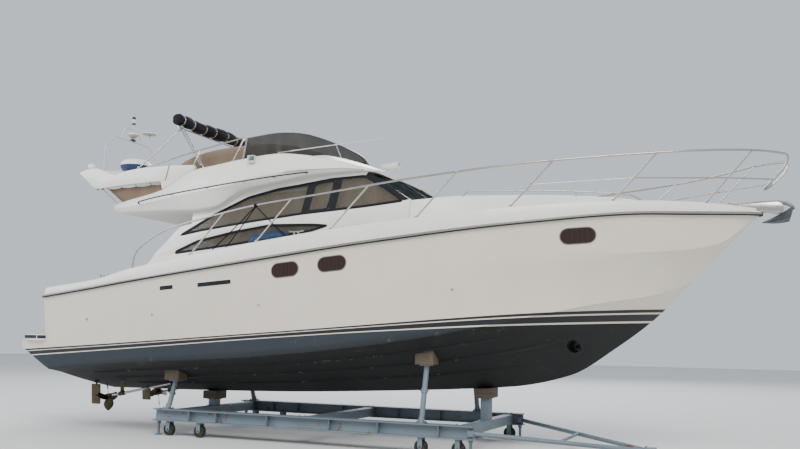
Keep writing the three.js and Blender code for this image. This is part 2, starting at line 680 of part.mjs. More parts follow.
// Bimini: folded hoops, their after stays, and the canvas rolled on top
const BIMINI = { x: 3200, y: 1545, z: 0, topX: 2200, topY: 1060, topZ: 5655, r: 13 };
BIMINI.z = along(FLY, "top", BIMINI.x) + GAP + 18;
const STAY = { x: 2245, y: 1068, z: 5560, footX: 1770, footY: 1575 };
const HOOPS = table("foot footX topX", [
  [0, 0, 70],
  [0.06, -36, 0],
]);
function biminiFrame() {
  const { x, y, z, topX, topY, topZ, r } = BIMINI;
  const pieces = [];
  for (const { sign } of SIDES) {
    for (const hoop of HOOPS) {
      const foot = [x, y, z].map((from, i) => from + hoop.foot * ([topX + 70, topY, topZ][i] - from));
      const top = [topX + hoop.topX, sign * topY, topZ - 4];
      pieces.push(rod([foot[0] + hoop.footX, sign * foot[1], foot[2]], top, r));
    }
    pieces.push(rod([x, sign * (y - 16), z], [x, sign * (y + 16), z], 17, 12));
    pieces.push(onSide(box(x - 100, x - 50, y - 42, y - 18, z + 52, z + 70), sign));
    const lug = box(STAY.x - 15, STAY.x + 90, STAY.y + GAP, 1115, STAY.z - 15, STAY.z + 15);
    pieces.push(onSide(lug, sign));
  }
  for (const hoop of HOOPS) {
    const barX = topX + hoop.topX;
    pieces.push(rod([barX, -topY - 18, topZ], [barX, topY + 18, topZ], r + 2, 10));
  }
  return join(...pieces);
}
const hoops = biminiFrame();
add("bimini_frame", hoops, "stainless");
function biminiStays() {
  const pieces = [rod([STAY.x, -STAY.y, STAY.z], [STAY.x, STAY.y, STAY.z], 12)];
  for (const { sign } of SIDES) {
    pieces.push(rod([STAY.x, sign * (STAY.y - 68), STAY.z], [STAY.footX, sign * STAY.footY, 4690], 12));
  }
  return seatedOn(geometryOf(join(...pieces)), arch);
}
add("bimini_stays", biminiStays(), "stainless");
const ROLL = { x: BIMINI.topX + 35, z: BIMINI.topZ + 103, r: 100, halfY: 1150 };
const roll = rod([ROLL.x, -ROLL.halfY, ROLL.z], [ROLL.x, ROLL.halfY, ROLL.z], ROLL.r, 14);
add("bimini_canvas", seatedOn(roll, hoops), "blackCanvas");

// Whip aerial folded forward along the coaming, and the searchlight on the brow
const WHIP = { x: 4730, y: -1557, r: 12, length: 1950, rise: 90 };
WHIP.z = along(FLY, "top", WHIP.x) + WHIP.r + GAP;
const whipTip = [WHIP.x + WHIP.length, WHIP.y, WHIP.z + WHIP.rise];
add(
  "whip_antenna",
  join(
    new THREE.SphereGeometry(WHIP.r, 8, 6).translate(WHIP.x, WHIP.y, WHIP.z),
    rod([WHIP.x, WHIP.y, WHIP.z], whipTip, 9, 8, 4),
  ),
  "whitePaint",
);
const LAMP = { x: 5990, z: 4760 };
function searchlight() {
  const stalk = rod([LAMP.x, 0, 4600], [LAMP.x, 0, LAMP.z], 38, 12);
  const head = rod([LAMP.x - 60, 0, LAMP.z], [LAMP.x + 280, 0, LAMP.z], 62, 14, 78);
  return seatedOn(geometryOf(join(stalk, head)), fly);
}
add("searchlight", searchlight(), "whitePaint");

// Cockpit: bench at the transom, stairs to the flybridge, hatch over the engines
const BENCH = { x0: COCKPIT.x0 + GAP, x1: 860, y0: -600, y1: 1300, seat: 2400, back: 2570 };
function bench() {
  const seat = box(BENCH.x0, BENCH.x1, BENCH.y0, BENCH.y1, COCKPIT.sole + GAP, BENCH.seat);
  const back = box(BENCH.x0, BENCH.x0 + 130, BENCH.y0, BENCH.y1, BENCH.seat - 10, BENCH.back);
  return join(seat, back);
}
add("cockpit_bench", bench(), "cushion");

const STAIRS = { x0: 1020, x1: 2100, y0: 850, y1: 1350, treads: 8, thick: 34 };
function stairs() {
  const { x0, x1, y0, y1, treads, thick } = STAIRS;
  const rise = 4040 - COCKPIT.sole;
  const run = x1 - x0;
  const stringer = [
    [x0, COCKPIT.sole + GAP], [x0 + 140, COCKPIT.sole + GAP], [x1 + 60, 4000], [x1 - 80, 4000],
  ];
  const pieces = [sidePlate(stringer, y0, y0 + thick), sidePlate(stringer, y1 - thick, y1)];
  for (let i = 1; i <= treads; i++) {
    const t = i / (treads + 1);
    const x = x0 + run * t;
    const z = COCKPIT.sole + rise * t;
    pieces.push(box(x - 40, x + 190, y0 + 10, y1 - 10, z - 30, z));
  }
  const well = STAIRWELL;
  const floorPlate = box(well.x0 - 50, well.x1 + 50, well.y0 - 50, well.y1 + 50, 3800, 4200);
  const clear = box(well.x0 + 5, well.x1 - 5, well.y0 + 5, well.y1 - 5, 3700, 4300);
  const edge = cut(solidOf(floorPlate), clear);
  return join(...pieces).subtract(edge);
}
add("fly_stairs", stairs(), "gelcoat");

const LID = { gap: 6, thick: HATCH_REBATE.depth - GAP };
add(
  "engine_hatch",
  box(
    ENGINE_HATCH.x0 + LID.gap,
    ENGINE_HATCH.x1 - LID.gap,
    LID.gap - ENGINE_HATCH.halfY,
    ENGINE_HATCH.halfY - LID.gap,
    COCKPIT.sole - LID.thick,
    COCKPIT.sole,
  ),
  "gelcoat",
);
const ENGINE = { x0: 1050, x1: 2250, y: 640, halfY: 380, height: 720 };
for (const { name, sign } of SIDES) {
  const middle = sign * ENGINE.y;
  const z = ENGINE_ROOM.floor + GAP;
  add(
    `engine_${name}`,
    box(ENGINE.x0, ENGINE.x1, middle - ENGINE.halfY, middle + ENGINE.halfY, z, z + ENGINE.height),
    "engineGrey",
  );
}

// Saloon furniture: sofa to port, a low front cabinet and the helm console to starboard
const furniture = join(
  box(3700, 6000, 800, 1390, SALOON.sole + GAP, 2620),
  box(3700, 6000, 1200, 1390, 2600, 3000),
  box(5990, 6900, -1390, 1390, SALOON.sole + GAP, 2900),
  box(6300, 6900, -1250, -350, 2890, 3350),
);
add("saloon_furniture", furniture, "cushion");

// Foredeck hatch
const foreHalf = FORE_HATCH.size / 2 - 15;
const foreLid = [FORE_HATCH.x - foreHalf, FORE_HATCH.x + foreHalf, -foreHalf, foreHalf];
add("foredeck_hatch", box(...foreLid, FORE_HATCH.z + GAP, FORE_HATCH.z + 35), "smokedGlass");

// Bow rail: a top tube round the bow, raked stanchions, and a mid rail to the second stanchion
const RAIL_TOP = table("x y z", [
  [2060, 1885, 3000],
  [2130, 1890, 3170],
  [2440, 1910, 3370],
  [2870, 1925, 3540],
  [3670, 1960, 3690],
  [4550, 1985, 3830],
  [5600, 1995, 3935],
  [7000, 1970, 4085],
  [8030, 1890, 4185],
  [8940, 1745, 4275],
  [9900, 1545, 4340],
  [10870, 1300, 4395],
  [11500, 1010, 4440],
  [12080, 620, 4482],
  [12440, 370, 4470],
  [12550, 290, 4430],
  [12500, 240, 4280],
  [12340, 180, 4110],
  [12240, 90, 4020],
]);
const STANCHIONS = [3310, 4610, 5970, 7370, 8770, 10180, 11420];
const RAKE = 660;
function bowRail() {
  const half = RAIL_TOP.map(({ x, y, z }) => [x, y, z]);
  const path = [...half, [12215, 0, 4005], ...half.map(([x, y, z]) => [x, -y, z]).reverse()];
  const pieces = [tube(path, 15, 64, 6)];
  const outward = RAIL_TOP.slice(0, 14);
  const mids = [];
  for (const x of STANCHIONS) {
    const foot = [x, along(HULL, "sheerY", x) - 82, along(HULL, "rail", x)];
    const headX = x + RAKE;
    const head = [headX, along(outward, "y", headX), along(outward, "z", headX) - 2];
    for (const { sign } of SIDES) {
      const mirror = ([a, b, c]) => [a, sign * b, c];
      const start = [foot[0] - 20, foot[1], foot[2] - 30];
      pieces.push(rod(mirror(start), mirror(head), 12.5, 6));
      const flange = [-8, 12].map((up) => mirror([foot[0], foot[1], foot[2] + up]));
      pieces.push(rod(...flange, 27, 6));
    }
    mids.push(head.map((value, i) => 0.52 * foot[i] + 0.48 * value));
  }
  const tip = [12345, 183, 4118];
  for (const { sign } of SIDES) {
    const mirror = ([a, b, c]) => [a, sign * b, c];
    const line = [tip, mids[6], mids[5]];
    for (let i = 1; i < line.length; i++) pieces.push(rod(mirror(line[i - 1]), mirror(line[i]), 10, 6));
    pieces.push(rod(mirror(mids[5]), mirror(mids[4]), 5, 6));
  }
  return seatedOn(geometryOf(join(...pieces)), deck);
}
// Its two halves meet in a sleeve on the centreline.
const railSolid = bowRail();
for (const { name, sign } of SIDES) {
  const otherHalf = onSide(box(0, 2 * MID_X + 2000, -3000, GAP / 2, 0, ABOVE), sign);
  add(`bow_rail_${name}`, cut(railSolid, otherHalf), "stainless");
}

// Bow roller with its cheeks, and the plough anchor stowed in it
const ROLLER = { x: 12385, z: 3735, r: 38 };
function bowRoller() {
  const cheek = [
    [11720, 3690], [12330, 3690], [12430, 3700], [12430, 3775], [12380, 3800], [12300, 3800],
    [12200, 3790], [11720, 3790],
  ];
  const pieces = [box(11720, 12300, -70, 70, 3690, 3742)];
  for (const { sign } of SIDES) pieces.push(onSide(sidePlate(cheek, 58, 70), sign));
  pieces.push(rod([ROLLER.x, -60, ROLLER.z], [ROLLER.x, 60, ROLLER.z], ROLLER.r, 12));
  return seatedOn(geometryOf(join(...pieces)), deck);
}
const roller = bowRoller();
add("bow_roller", roller, "stainless");
function anchor() {
  const lift = ROLLER.z + ROLLER.r + 18.5;
  const shank = [
    [11880, 3762], [12250, 3762], [ROLLER.x, lift - 18], [12520, 3745], [12600, 3680],
    [12625, 3700], [12560, 3790], [ROLLER.x, lift + 20], [12240, 3800], [11880, 3800],
  ];
  const wing = [
    [12640, 3735], [12560, 3600], [12300, 3500], [12330, 3560], [12520, 3690],
  ];
  const pieces = [sidePlate(shank, -11, 11)];
  for (const { sign } of SIDES) {
    const share = sidePlate(wing, 0, 12);
    const position = share.getAttribute("position");
    for (let i = 0; i < position.count; i++) {
      const drop = Math.max(0, 3735 - position.getZ(i));
      position.setY(i, position.getY(i) + 0.85 * drop - 6);
    }
    pieces.push(onSide(share, sign));
  }
  return join(...pieces).subtract(roller.translate([0, 0, GAP]));
}
add("anchor", anchor(), "galvanised");

// Fender lying on the starboard side deck
const FENDER = { x0: 4350, x1: 5080, y: -1768, r: 122, taper: 90 };
function fender() {
  const { x0, x1, y, r, taper } = FENDER;
  const end = 0.42 * r;
  const at = (x) => [x, y, deckZ(x) + r - 1];
  return join(
    rod(at(x0 + taper), at(x1 - taper), r, 14),
    rod(at(x0), at(x0 + taper + 0.2), end, 14, r),
    rod(at(x1 - taper - 0.2), at(x1), r, 14, end),
  );
}
add("fender", seatedOn(geometryOf(fender()), deck), "fenderBlue");

// Running gear: shafts with their screws, brackets, rudders and the bow thruster
const shaftAngle = Math.atan(SHAFT_SLOPE);
function screw(hubRadius, hubLength, radius, width, pitch) {
  const pieces = [rod([-hubLength / 2, 0, 0], [hubLength / 2, 0, 0], hubRadius, 12)];
  const outline = [
    [0.25, 0.3], [0.55, 0.5], [0.85, 0.42], [1, 0], [0.85, -0.42], [0.55, -0.5], [0.25, -0.3],
    [0, -0.2], [0, 0.2],
  ].map(([r, w]) => [w * width, r * radius]);
  for (let i = 0; i < 4; i++) {
    const blade = extruded(shapeOf(outline), 0.04 * radius).translate(0, 0, -0.02 * radius);
    blade.rotateY(Math.PI / 2 - pitch).rotateX((Math.PI / 2) * i);
    pieces.push(blade);
  }
  return join(...pieces);
}
const lowered = hull.translate([0, 0, -GAP]);
for (const { name, sign } of SIDES) {
  const y = sign * SHAFT.y;
  const blades = geometryOf(screw(48, 150, 270, 210, sign * 0.5));
  blades.rotateY(-shaftAngle).translate(SHAFT.x0, y, SHAFT.z0);
  const shaftEnd = BOSS.x0 - GAP;
  const shaft = rod([SHAFT.x0, y, SHAFT.z0], [shaftEnd, y, shaftZ(shaftEnd)], SHAFT.r, 12);
  add(`propeller_${name}`, join(blades, shaft), "bronze");

  const at = 960;
  const barrel = rod([at - 65, y, shaftZ(at - 65)], [at + 65, y, shaftZ(at + 65)], 42, 12);
  const bore = rod([at - 200, y, shaftZ(at - 200)], [at + 200, y, shaftZ(at + 200)], SHAFT.r + 0.8, 12);
  const strut = box(at - 45, at + 45, y - 9, y + 9, shaftZ(at), 960);
  add(`shaft_bracket_${name}`, cut(join(barrel, strut), bore).subtract(lowered), "bronze");

  const blade = [
    [200, RUDDER.top], [430, RUDDER.top], [455, 430], [240, 400],
  ];
  const rudder = join(
    sidePlate(blade, y - 15, y + 15),
    rod([RUDDER.x, y, RUDDER.top - 100], [RUDDER.x, y, RUDDER.bearing - GAP], RUDDER.stock, 12),
  );
  add(`rudder_${name}`, rudder, "bronze");
}
const thrusterScrew = geometryOf(screw(30, 44, 84, 60, 0.5));
thrusterScrew.rotateZ(Math.PI / 2).translate(TUNNEL.x, TUNNEL.podEnd + 22 + GAP, TUNNEL.z);
add("bow_thruster_propeller", thrusterScrew, "blackRubber");

// Cradle: two long beams, cross beams, keel stools, leaning bilge posts, jacks and a drawbar
const CRADLE = { x0: 2300, x1: 8150, y: 1350, z0: 250, z1: 450, half: 100, flange: 16, web: 12 };
const CROSS = [2550, 5200, 7900];
const POSTS = table("x footY headY", [
  [2550, 1350, 1180],
  [7300, 1350, 1150],
]);
const WHEELS = [2600, 3240, 7300, 7900];
const WHEEL = { r: 105, halfY: 40, sides: 24, cheek: 50 };
const APEX = { x: 10450, y: 40, z: 96 };
const DRAW = { x: 8100, z: 340, braceAt: 0.49 };
const COUPLING_TOP = 150;
const STOOLS = table("x z", [
  [2550, 560],
  [7900, 790],
]);
const bottomAt = (x, y) => {
  const keel = along(HULL, "keel", x);
  return keel + ((along(HULL, "chine", x) - keel) * y) / along(HULL, "chineY", x);
};
const padZ = (post) => bottomAt(post.x, post.headY) - 80;
function cradle() {
  const { x0, x1, y, z0, z1, half, flange, web } = CRADLE;
  const w = web / 2;
  const pieces = [];
  for (const { sign } of SIDES) {
    const c = sign * y;
    const beam = [
      [c - half, z0], [c + half, z0], [c + half, z0 + flange], [c + w, z0 + flange], [c + w, z1 - flange],
      [c + half, z1 - flange], [c + half, z1], [c - half, z1], [c - half, z1 - flange], [c - w, z1 - flange],
      [c - w, z0 + flange], [c - half, z0 + flange],
    ];
    pieces.push(frontPlate(beam, x0, x1));
    for (const post of POSTS) {
      const { x, footY } = post;
      const head = sign * post.headY;
      const top = padZ(post) - 70;
      pieces.push(rod([x, sign * footY, z1 - 5], [x, head, top - 18], 42, 10));
      pieces.push(box(x - 70, x + 70, c - 70, c + 70, z1 - 5, z1 + 14));
      pieces.push(box(x - 90, x + 90, head - 80, head + 80, top - 20, top));
    }
    for (const x of WHEELS) {
      for (const middle of [c - WHEEL.cheek - 6, c + WHEEL.cheek + 6]) {
        pieces.push(box(x - 38, x + 38, middle - 6, middle + 6, 70, z0 + 5));
      }
    }
    for (const x of [x0 + 70, x1 - 60]) {
      pieces.push(rod([x, c, 10], [x, c, z0 + 5], 22, 10));
      pieces.push(rod([x, c, 0], [x, c, 18], 70, 12));
    }
    pieces.push(rod([DRAW.x, c, DRAW.z], [APEX.x, sign * APEX.y, APEX.z], 35, 10));
  }
  for (const x of CROSS) pieces.push(box(x - 80, x + 80, -y, y, z0 + 20, z1 - 20));
  for (const stool of STOOLS) {
    pieces.push(box(stool.x - 100, stool.x + 100, -110, 110, z1 - 25, stool.z));
  }
  const braceY = y + (APEX.y - y) * DRAW.braceAt;
  const braceX = DRAW.x + (APEX.x - DRAW.x) * DRAW.braceAt;
  const braceZ = DRAW.z + (APEX.z - DRAW.z) * DRAW.braceAt;
  pieces.push(rod([braceX, -braceY, braceZ], [braceX, braceY, braceZ], 25, 8));
  pieces.push(box(APEX.x - 60, APEX.x + 120, -90, 90, 0, COUPLING_TOP));
  return join(...pieces);
}
add("cradle_frame", cradle(), "cradleBlue");

for (const [name, stool] of [["aft", STOOLS[0]], ["fore", STOOLS[1]]]) {
  const top = along(HULL, "keel", stool.x) + 60;
  const block = box(stool.x - 150, stool.x + 150, -170, 170, stool.z + GAP, top);
  add(`keel_block_${name}`, solidOf(block).subtract(lowered), "timber");
}
for (const [end, post] of [["aft", POSTS[0]], ["fore", POSTS[1]]]) {
  for (const { name, sign } of SIDES) {
    const middle = sign * post.headY;
    const low = padZ(post) - 70 + GAP;
    const pad = box(post.x - 150, post.x + 150, middle - 130, middle + 130, low, padZ(post) + 150);
    add(`bilge_pad_${end}_${name}`, solidOf(pad).subtract(lowered), "timber");
  }
}
const axleZ = WHEEL.r * Math.cos(Math.PI / WHEEL.sides);
for (const { name, sign } of SIDES) {
  WHEELS.forEach((x, i) => {
    const c = sign * CRADLE.y;
    const end = WHEEL.cheek - GAP;
    const tyre = new THREE.CylinderGeometry(WHEEL.r, WHEEL.r, 2 * WHEEL.halfY, WHEEL.sides);
    tyre.rotateY(Math.PI / WHEEL.sides).translate(x, c, axleZ);
    const axle = rod([x, c - end, axleZ], [x, c + end, axleZ], 16, 8);
    add(`cradle_wheel_${name}_${i + 1}`, join(tyre, axle), "blackRubber");
  });
}

export default part;
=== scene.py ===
import math
from types import SimpleNamespace as Sizes

import bmesh
import bpy
from mathutils import Matrix, Vector, noise


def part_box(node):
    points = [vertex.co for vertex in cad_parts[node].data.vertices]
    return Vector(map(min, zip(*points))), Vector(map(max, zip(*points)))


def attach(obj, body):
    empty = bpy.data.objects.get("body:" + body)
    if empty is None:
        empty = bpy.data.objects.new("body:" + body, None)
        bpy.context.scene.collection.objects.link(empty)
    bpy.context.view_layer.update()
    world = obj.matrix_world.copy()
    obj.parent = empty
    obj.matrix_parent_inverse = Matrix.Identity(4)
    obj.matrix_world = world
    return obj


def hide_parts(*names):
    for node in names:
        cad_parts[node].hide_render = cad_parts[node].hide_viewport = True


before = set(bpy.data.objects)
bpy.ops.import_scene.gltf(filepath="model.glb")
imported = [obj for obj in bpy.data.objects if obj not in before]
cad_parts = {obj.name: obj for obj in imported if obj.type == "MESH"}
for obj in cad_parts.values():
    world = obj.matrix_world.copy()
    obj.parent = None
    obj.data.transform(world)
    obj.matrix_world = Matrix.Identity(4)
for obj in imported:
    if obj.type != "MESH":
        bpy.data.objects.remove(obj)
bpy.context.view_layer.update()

# Lengths are in metres. A boat length x runs forward from the transom, y to port and z up from the ground.
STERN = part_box("deck")[0].x
BOAT = "yacht"
SIDES = {"starboard": -1, "port": 1}
BOTH = (-1, 1)
AHEAD, ACROSS = (1, 0, 0), (0, 1, 0)
SKIN = 0.0015  # how far thin trim stands off what it is fixed to
GAP = 0.0004  # left between pieces that stand against each other


def at(x, y, z):
    """A point of the boat, in the frame."""
    return Vector((STERN + x, y, z))


def up(height):
    return Vector((0, 0, height))


def in_scene(name, data):
    obj = bpy.data.objects.new(name, data)
    bpy.context.scene.collection.objects.link(obj)
    return obj


# Camera, lights and floor
IMAGE_WIDTH = 800
FOCAL_PIXELS = 850
SENSOR = 36.0
FAR = 400
EYE = at(12.24, -13.59, 1.66)
YAW, PITCH, ROLL = (math.radians(angle) for angle in (23.6, 7.89, 0.95))
SKY = (0.80, 0.87, 0.96, 1)
LIGHTS = {
    "key": ((12, -22, 22), (0, 0, 2), (18, 14), 9000, (1.0, 0.98, 0.95)),
    "fill": ((-20, -14, 12), (-2, 0, 2), (14, 12), 2600, (0.93, 0.96, 1.0)),
    "back": ((-6, 22, 16), (0, 0, 3), (20, 10), 4200, (0.96, 0.98, 1.0)),
}


def camera():
    data = bpy.data.cameras.new("camera")
    data.sensor_width = SENSOR
    data.lens = FOCAL_PIXELS / IMAGE_WIDTH * SENSOR
    data.clip_end = FAR
    obj = in_scene("camera", data)
    turn = Matrix.Rotation(YAW, 4, "Z") @ Matrix.Rotation(math.pi / 2 + PITCH, 4, "X")
    obj.matrix_world = Matrix.Translation(EYE) @ turn @ Matrix.Rotation(ROLL, 4, "Z")
    bpy.context.scene.camera = obj


def soft_light(name, place, target, size, power, tint):
    data = bpy.data.lights.new(name, "AREA")
    data.shape = "RECTANGLE"
    data.size, data.size_y = size
    data.energy = power
    data.color = tint
    obj = in_scene(name, data)
    obj.location = place
    obj.rotation_euler = (Vector(target) - Vector(place)).to_track_quat("-Z", "Y").to_euler()


def studio():
    for name, settings in LIGHTS.items():
        soft_light(name, *settings)
    world = bpy.data.worlds.new("studio")
    world.use_nodes = True
    background = world.node_tree.nodes["Background"]
    background.inputs["Color"].default_value = SKY
    background.inputs["Strength"].default_value = 0.85
    bpy.context.scene.world = world


# Shader sums, written as plain expressions on sockets
class Value:
    def __init__(self, finish, socket):
        self.finish = finish
        self.socket = socket

    def sum(self, operation, *others):
        return self.finish.node("ShaderNodeMath", {"operation": operation}, [self, *others])

    def __add__(self, other):
        return self.sum("ADD", other)

    def __sub__(self, other):
        return self.sum("SUBTRACT", other)

    def __mul__(self, other):
        return self.sum("MULTIPLY", other)

    def __truediv__(self, other):
        return self.sum("DIVIDE", other)

    def __rsub__(self, other):
        return self * -1 + other

    __radd__ = __add__
    __rmul__ = __mul__

    def size(self):
        return self.sum("ABSOLUTE")

    def share(self):
        """The part after the decimal point, for patterns that repeat."""
        return self.sum("FRACT")

    def above(self, edge, soft=0.01):
        """0 below an edge and 1 over it, with a soft change between."""
        return self.rise(edge - soft, edge + soft)

    def clear(self):
        """Never below 0 or over 1."""
        return self.finish.node("ShaderNodeClamp", {}, [self])

    def rise(self, low, high):
        settings = {"interpolation_type": "SMOOTHSTEP"}
        return self.finish.node("ShaderNodeMapRange", settings, [self, low, high, 0.0, 1.0])

    def between(self, low, high, soft):
        return self.above(low, soft) * (1 - self.above(high, soft))


class Finish:
    """A material, and the few ways in which its nodes are added. A colour is given as a screen shows it."""

    def __init__(self, name, colour, roughness):
        self.material = bpy.data.materials.new(name)
        self.material.use_nodes = True
        self.tree = self.material.node_tree
        self.shader = self.tree.nodes["Principled BSDF"]
        self.place = self.node("ShaderNodeTexCoord", {}, [], "Object")
        self.set("Base Color", colour)
        self.set("Roughness", roughness)

    def fill(self, socket, value):
        if isinstance(value, Value):
            self.tree.links.new(value.socket, socket)
        elif isinstance(value, tuple) and len(socket.default_value) == 4:
            socket.default_value = (*[((part / 255 + 0.055) / 1.055) ** 2.4 for part in value], 1)
        else:
            socket.default_value = value

    def node(self, kind, settings, values, out=0):
        made = self.tree.nodes.new(kind)
        for key, value in settings.items():
            setattr(made, key, value)
        pairs = values.items() if isinstance(values, dict) else enumerate(values)
        for key, value in pairs:
            self.fill(made.inputs[key], value)
        return Value(self, made.outputs[out])

    def set(self, name, value):
        self.fill(self.shader.inputs[name], value)

    def look(self, colour, roughness, normal):
        self.set("Base Color", colour)
        self.set("Roughness", roughness)
        self.set("Normal", normal)
        return self.material

    def part(self, axis):
        return self.node("ShaderNodeSeparateXYZ", {}, [self.place], axis)

    def attribute(self, name):
        return self.node("ShaderNodeAttribute", {"attribute_name": name}, [], "Fac")

    def stretched(self, *scale):
        return self.node("ShaderNodeMapping", {}, {"Vector": self.place, "Scale": scale})

    def noise(self, scale, detail=4.0, rough=0.55, vector=None):
        values = {"Vector": vector or self.place, "Scale": scale, "Detail": detail, "Roughness": rough}
        return self.node("ShaderNodeTexNoise", {}, values)

    def blend(self, share, one, other):
        values = {"Factor": share, 6: one, 7: other}
        return self.node("ShaderNodeMix", {"data_type": "RGBA"}, values, 2)

    def relief(self, height, distance, strength, previous=None):
        values = {"Height": height, "Distance": distance, "Strength": strength}
        if previous:
            values["Normal"] = previous
        return self.node("ShaderNodeBump", {}, values)


# Shapes. Each of these gives a bmesh, and piece() turns one or several of them into an object.
def soften(bm, width, segments=2, angle=30):
    """Rounds the edges that are sharper than angle."""
    if width:
        sharp = [e for e in bm.edges if e.is_manifold and e.calc_face_angle(0) > math.radians(angle)]
        bmesh.ops.bevel(bm, geom=sharp, offset=width, offset_type="OFFSET", segments=segments,
                        profile=0.5, affect="EDGES", clamp_overlap=True, material=-1)
    return bm


def outward(bm):
    """Turns the faces outwards."""
    bmesh.ops.recalc_face_normals(bm, faces=bm.faces)
    return bm


def cube(low, high):
    low, high = Vector(low), Vector(high)
    bm = bmesh.new()
    place = Matrix.Translation((low + high) / 2) @ Matrix.Diagonal((*(high - low), 1))
    bmesh.ops.create_cube(bm, size=1, matrix=place)
    return bm


def block(low, high, soft=0.0, segments=2):
    return soften(cube(low, high), soft, segments)


def box(low, high, soft=0.0, segments=2):
    """A block between two points of the boat."""
    return block(at(*low), at(*high), soft, segments)


def plate(x, y, dx, dy, z0, z1, soft=0.0, segments=2):
    """A block from z0 to z1 that reaches dx and dy from its middle (x, y)."""
    return box((x - dx, y - dy, z0), (x + dx, y + dy, z1), soft, segments)


def pointing(axis):
    """The turn that brings up to an axis."""
    return Vector(axis).to_track_quat("Z", "Y").to_matrix().to_4x4()


def rod(start, end, radius, end_radius=None, segments=16):
    start, end = Vector(start), Vector(end)
    bm = bmesh.new()
    bmesh.ops.create_cone(bm, cap_ends=True, segments=segments, radius1=radius,
                          radius2=radius if end_radius is None else end_radius, depth=(end - start).length,
                          matrix=Matrix.Translation((start + end) / 2) @ pointing(end - start))
    return bm


def ball(place, radius, scale=(1, 1, 1), detail=20):
    bm = bmesh.new()
    shape = Matrix.Translation(Vector(place)) @ Matrix.Diagonal((*scale, 1))
    bmesh.ops.create_uvsphere(bm, u_segments=detail, v_segments=detail // 2, radius=radius, matrix=shape)
    return bm


def welded(bm, distance, fill=False):
    """Joins points that lie together, closes open ends if asked, and turns the faces outwards."""
    bmesh.ops.remove_doubles(bm, verts=bm.verts, dist=distance)
    if fill:
        bmesh.ops.holes_fill(bm, edges=bm.edges, sides=0)
    return outward(bm)


def turned(profile, foot, axis=(0, 0, 1), steps=32):
    """Spins a profile of (radius, height) pairs round an axis through foot."""
    bm = bmesh.new()
    verts = [bm.verts.new((radius, 0, height)) for radius, height in profile]
    edges = [bm.edges.new(pair) for pair in zip(verts, verts[1:])]
    bmesh.ops.spin(bm, geom=verts + edges, cent=(0, 0, 0), axis=(0, 0, 1), dvec=(0, 0, 0),
                   angle=2 * math.pi, steps=steps, use_merge=True, use_duplicate=False)
    welded(bm, 1e-5)
    bm.transform(Matrix.Translation(Vector(foot)) @ pointing(axis))
    return bm


def knob(profile, foot, **how):
    """The same, closed over the profile's two ends."""
    return turned([(0, profile[0][1]), *profile, (0, profile[-1][1])], foot, **how)


def thickened(bm, thickness):
    """Gives a sheet of faces a thickness along a vector."""
    made = bmesh.ops.extrude_face_region(bm, geom=bm.faces[:])["geom"]
    moved = [item for item in made if isinstance(item, bmesh.types.BMVert)]
    bmesh.ops.translate(bm, verts=moved, vec=Vector(thickness))
    return outward(bm)


def flat_face(outline):
    bm = bmesh.new()
    bm.faces.new([bm.verts.new(point) for point in outline])
    return bm


def slab(outline, thickness):
    """An outline of points given a thickness along a vector."""
    return thickened(flat_face(outline), thickness)


def border(outline, width, thickness):
    """A band of that width along the inside of an outline."""
    bm = flat_face(outline)
    bm.normal_update()
    face = bm.faces[:][0]
    bmesh.ops.inset_region(bm, faces=[face], thickness=width, use_boundary=True, use_even_offset=True)
    bmesh.ops.delete(bm, geom=[face], context="FACES_ONLY")
    return thickened(bm, thickness)


def field(columns, rows, place):
    """A grid whose points are put in place by a function of u and v, each from 0 to 1."""
    bm = bmesh.new()
    bmesh.ops.create_grid(bm, x_segments=columns, y_segments=rows, size=0.5)
    for vert in bm.verts:
        vert.co = place(vert.co.x + 0.5, vert.co.y + 0.5)
    return outward(bm)


def through(points, steps):
    """A smooth line through points, with that many steps between two of them."""
    points = [Vector(point) for point in points]
    ends = [2 * points[0] - points[1], *points, 2 * points[-1] - points[-2]]
    line = []
    for a, b, c, d in zip(ends, ends[1:], ends[2:], ends[3:]):
        for i in range(steps):
            t = i / steps
            bend = (2 * a - 5 * b + 4 * c - d) * t * t + (3 * b - a - 3 * c + d) * t ** 3
            line.append(0.5 * (2 * b + (c - a) * t + bend))
    return [*line, points[-1]]


def through_flat(points, steps):
    """The same through (a, b) points."""
    return [(p.x, p.y) for p in through([(a, b, 0) for a, b in points], steps)]


def angles(count):
    return [2 * math.pi * k / count for k in range(count)]


def tube(points, radius, sides=12, ring=False):
    curve = bpy.data.curves.new("tube", "CURVE")
    curve.dimensions = "3D"
    curve.bevel_depth = radius
    curve.bevel_resolution = sides // 4
    curve.use_fill_caps = True
    spline = curve.splines.new("POLY")
    spline.points.add(len(points) - 1)
    for point, place in zip(spline.points, points):
        point.co = (*place, 1)
    spline.use_cyclic_u = ring
    obj = in_scene("tube", curve)
    bm = taken_from(bpy.data.meshes.new_from_object(obj))
    bpy.data.objects.remove(obj)
    bpy.data.curves.remove(curve)
    return welded(bm, 1e-5)


def taken_from(mesh):
    """A mesh's shape; the mesh itself goes."""
    bm = bmesh.new()
    bm.from_mesh(mesh)
    bpy.data.meshes.remove(mesh)
    return bm


def flipped(bm):
    """Moves a shape to the other side of the boat."""
    bm.transform(Matrix.Diagonal((1, -1, 1, 1)))
    bmesh.ops.reverse_faces(bm, faces=bm.faces)
    return bm


def on_side(bm, sign):
    """A shape made on the port side, for the side asked for."""
    return bm if sign > 0 else flipped(bm)


def mesh_of(bm, name):
    mesh = bpy.data.meshes.new(name)
    bm.to_mesh(mesh)
    bm.free()
    return mesh


def gather(*parts):
    whole = bmesh.new()
    for part in parts:
        mesh = mesh_of(part, "part")
        whole.from_mesh(mesh)
        bpy.data.meshes.remove(mesh)
    return whole


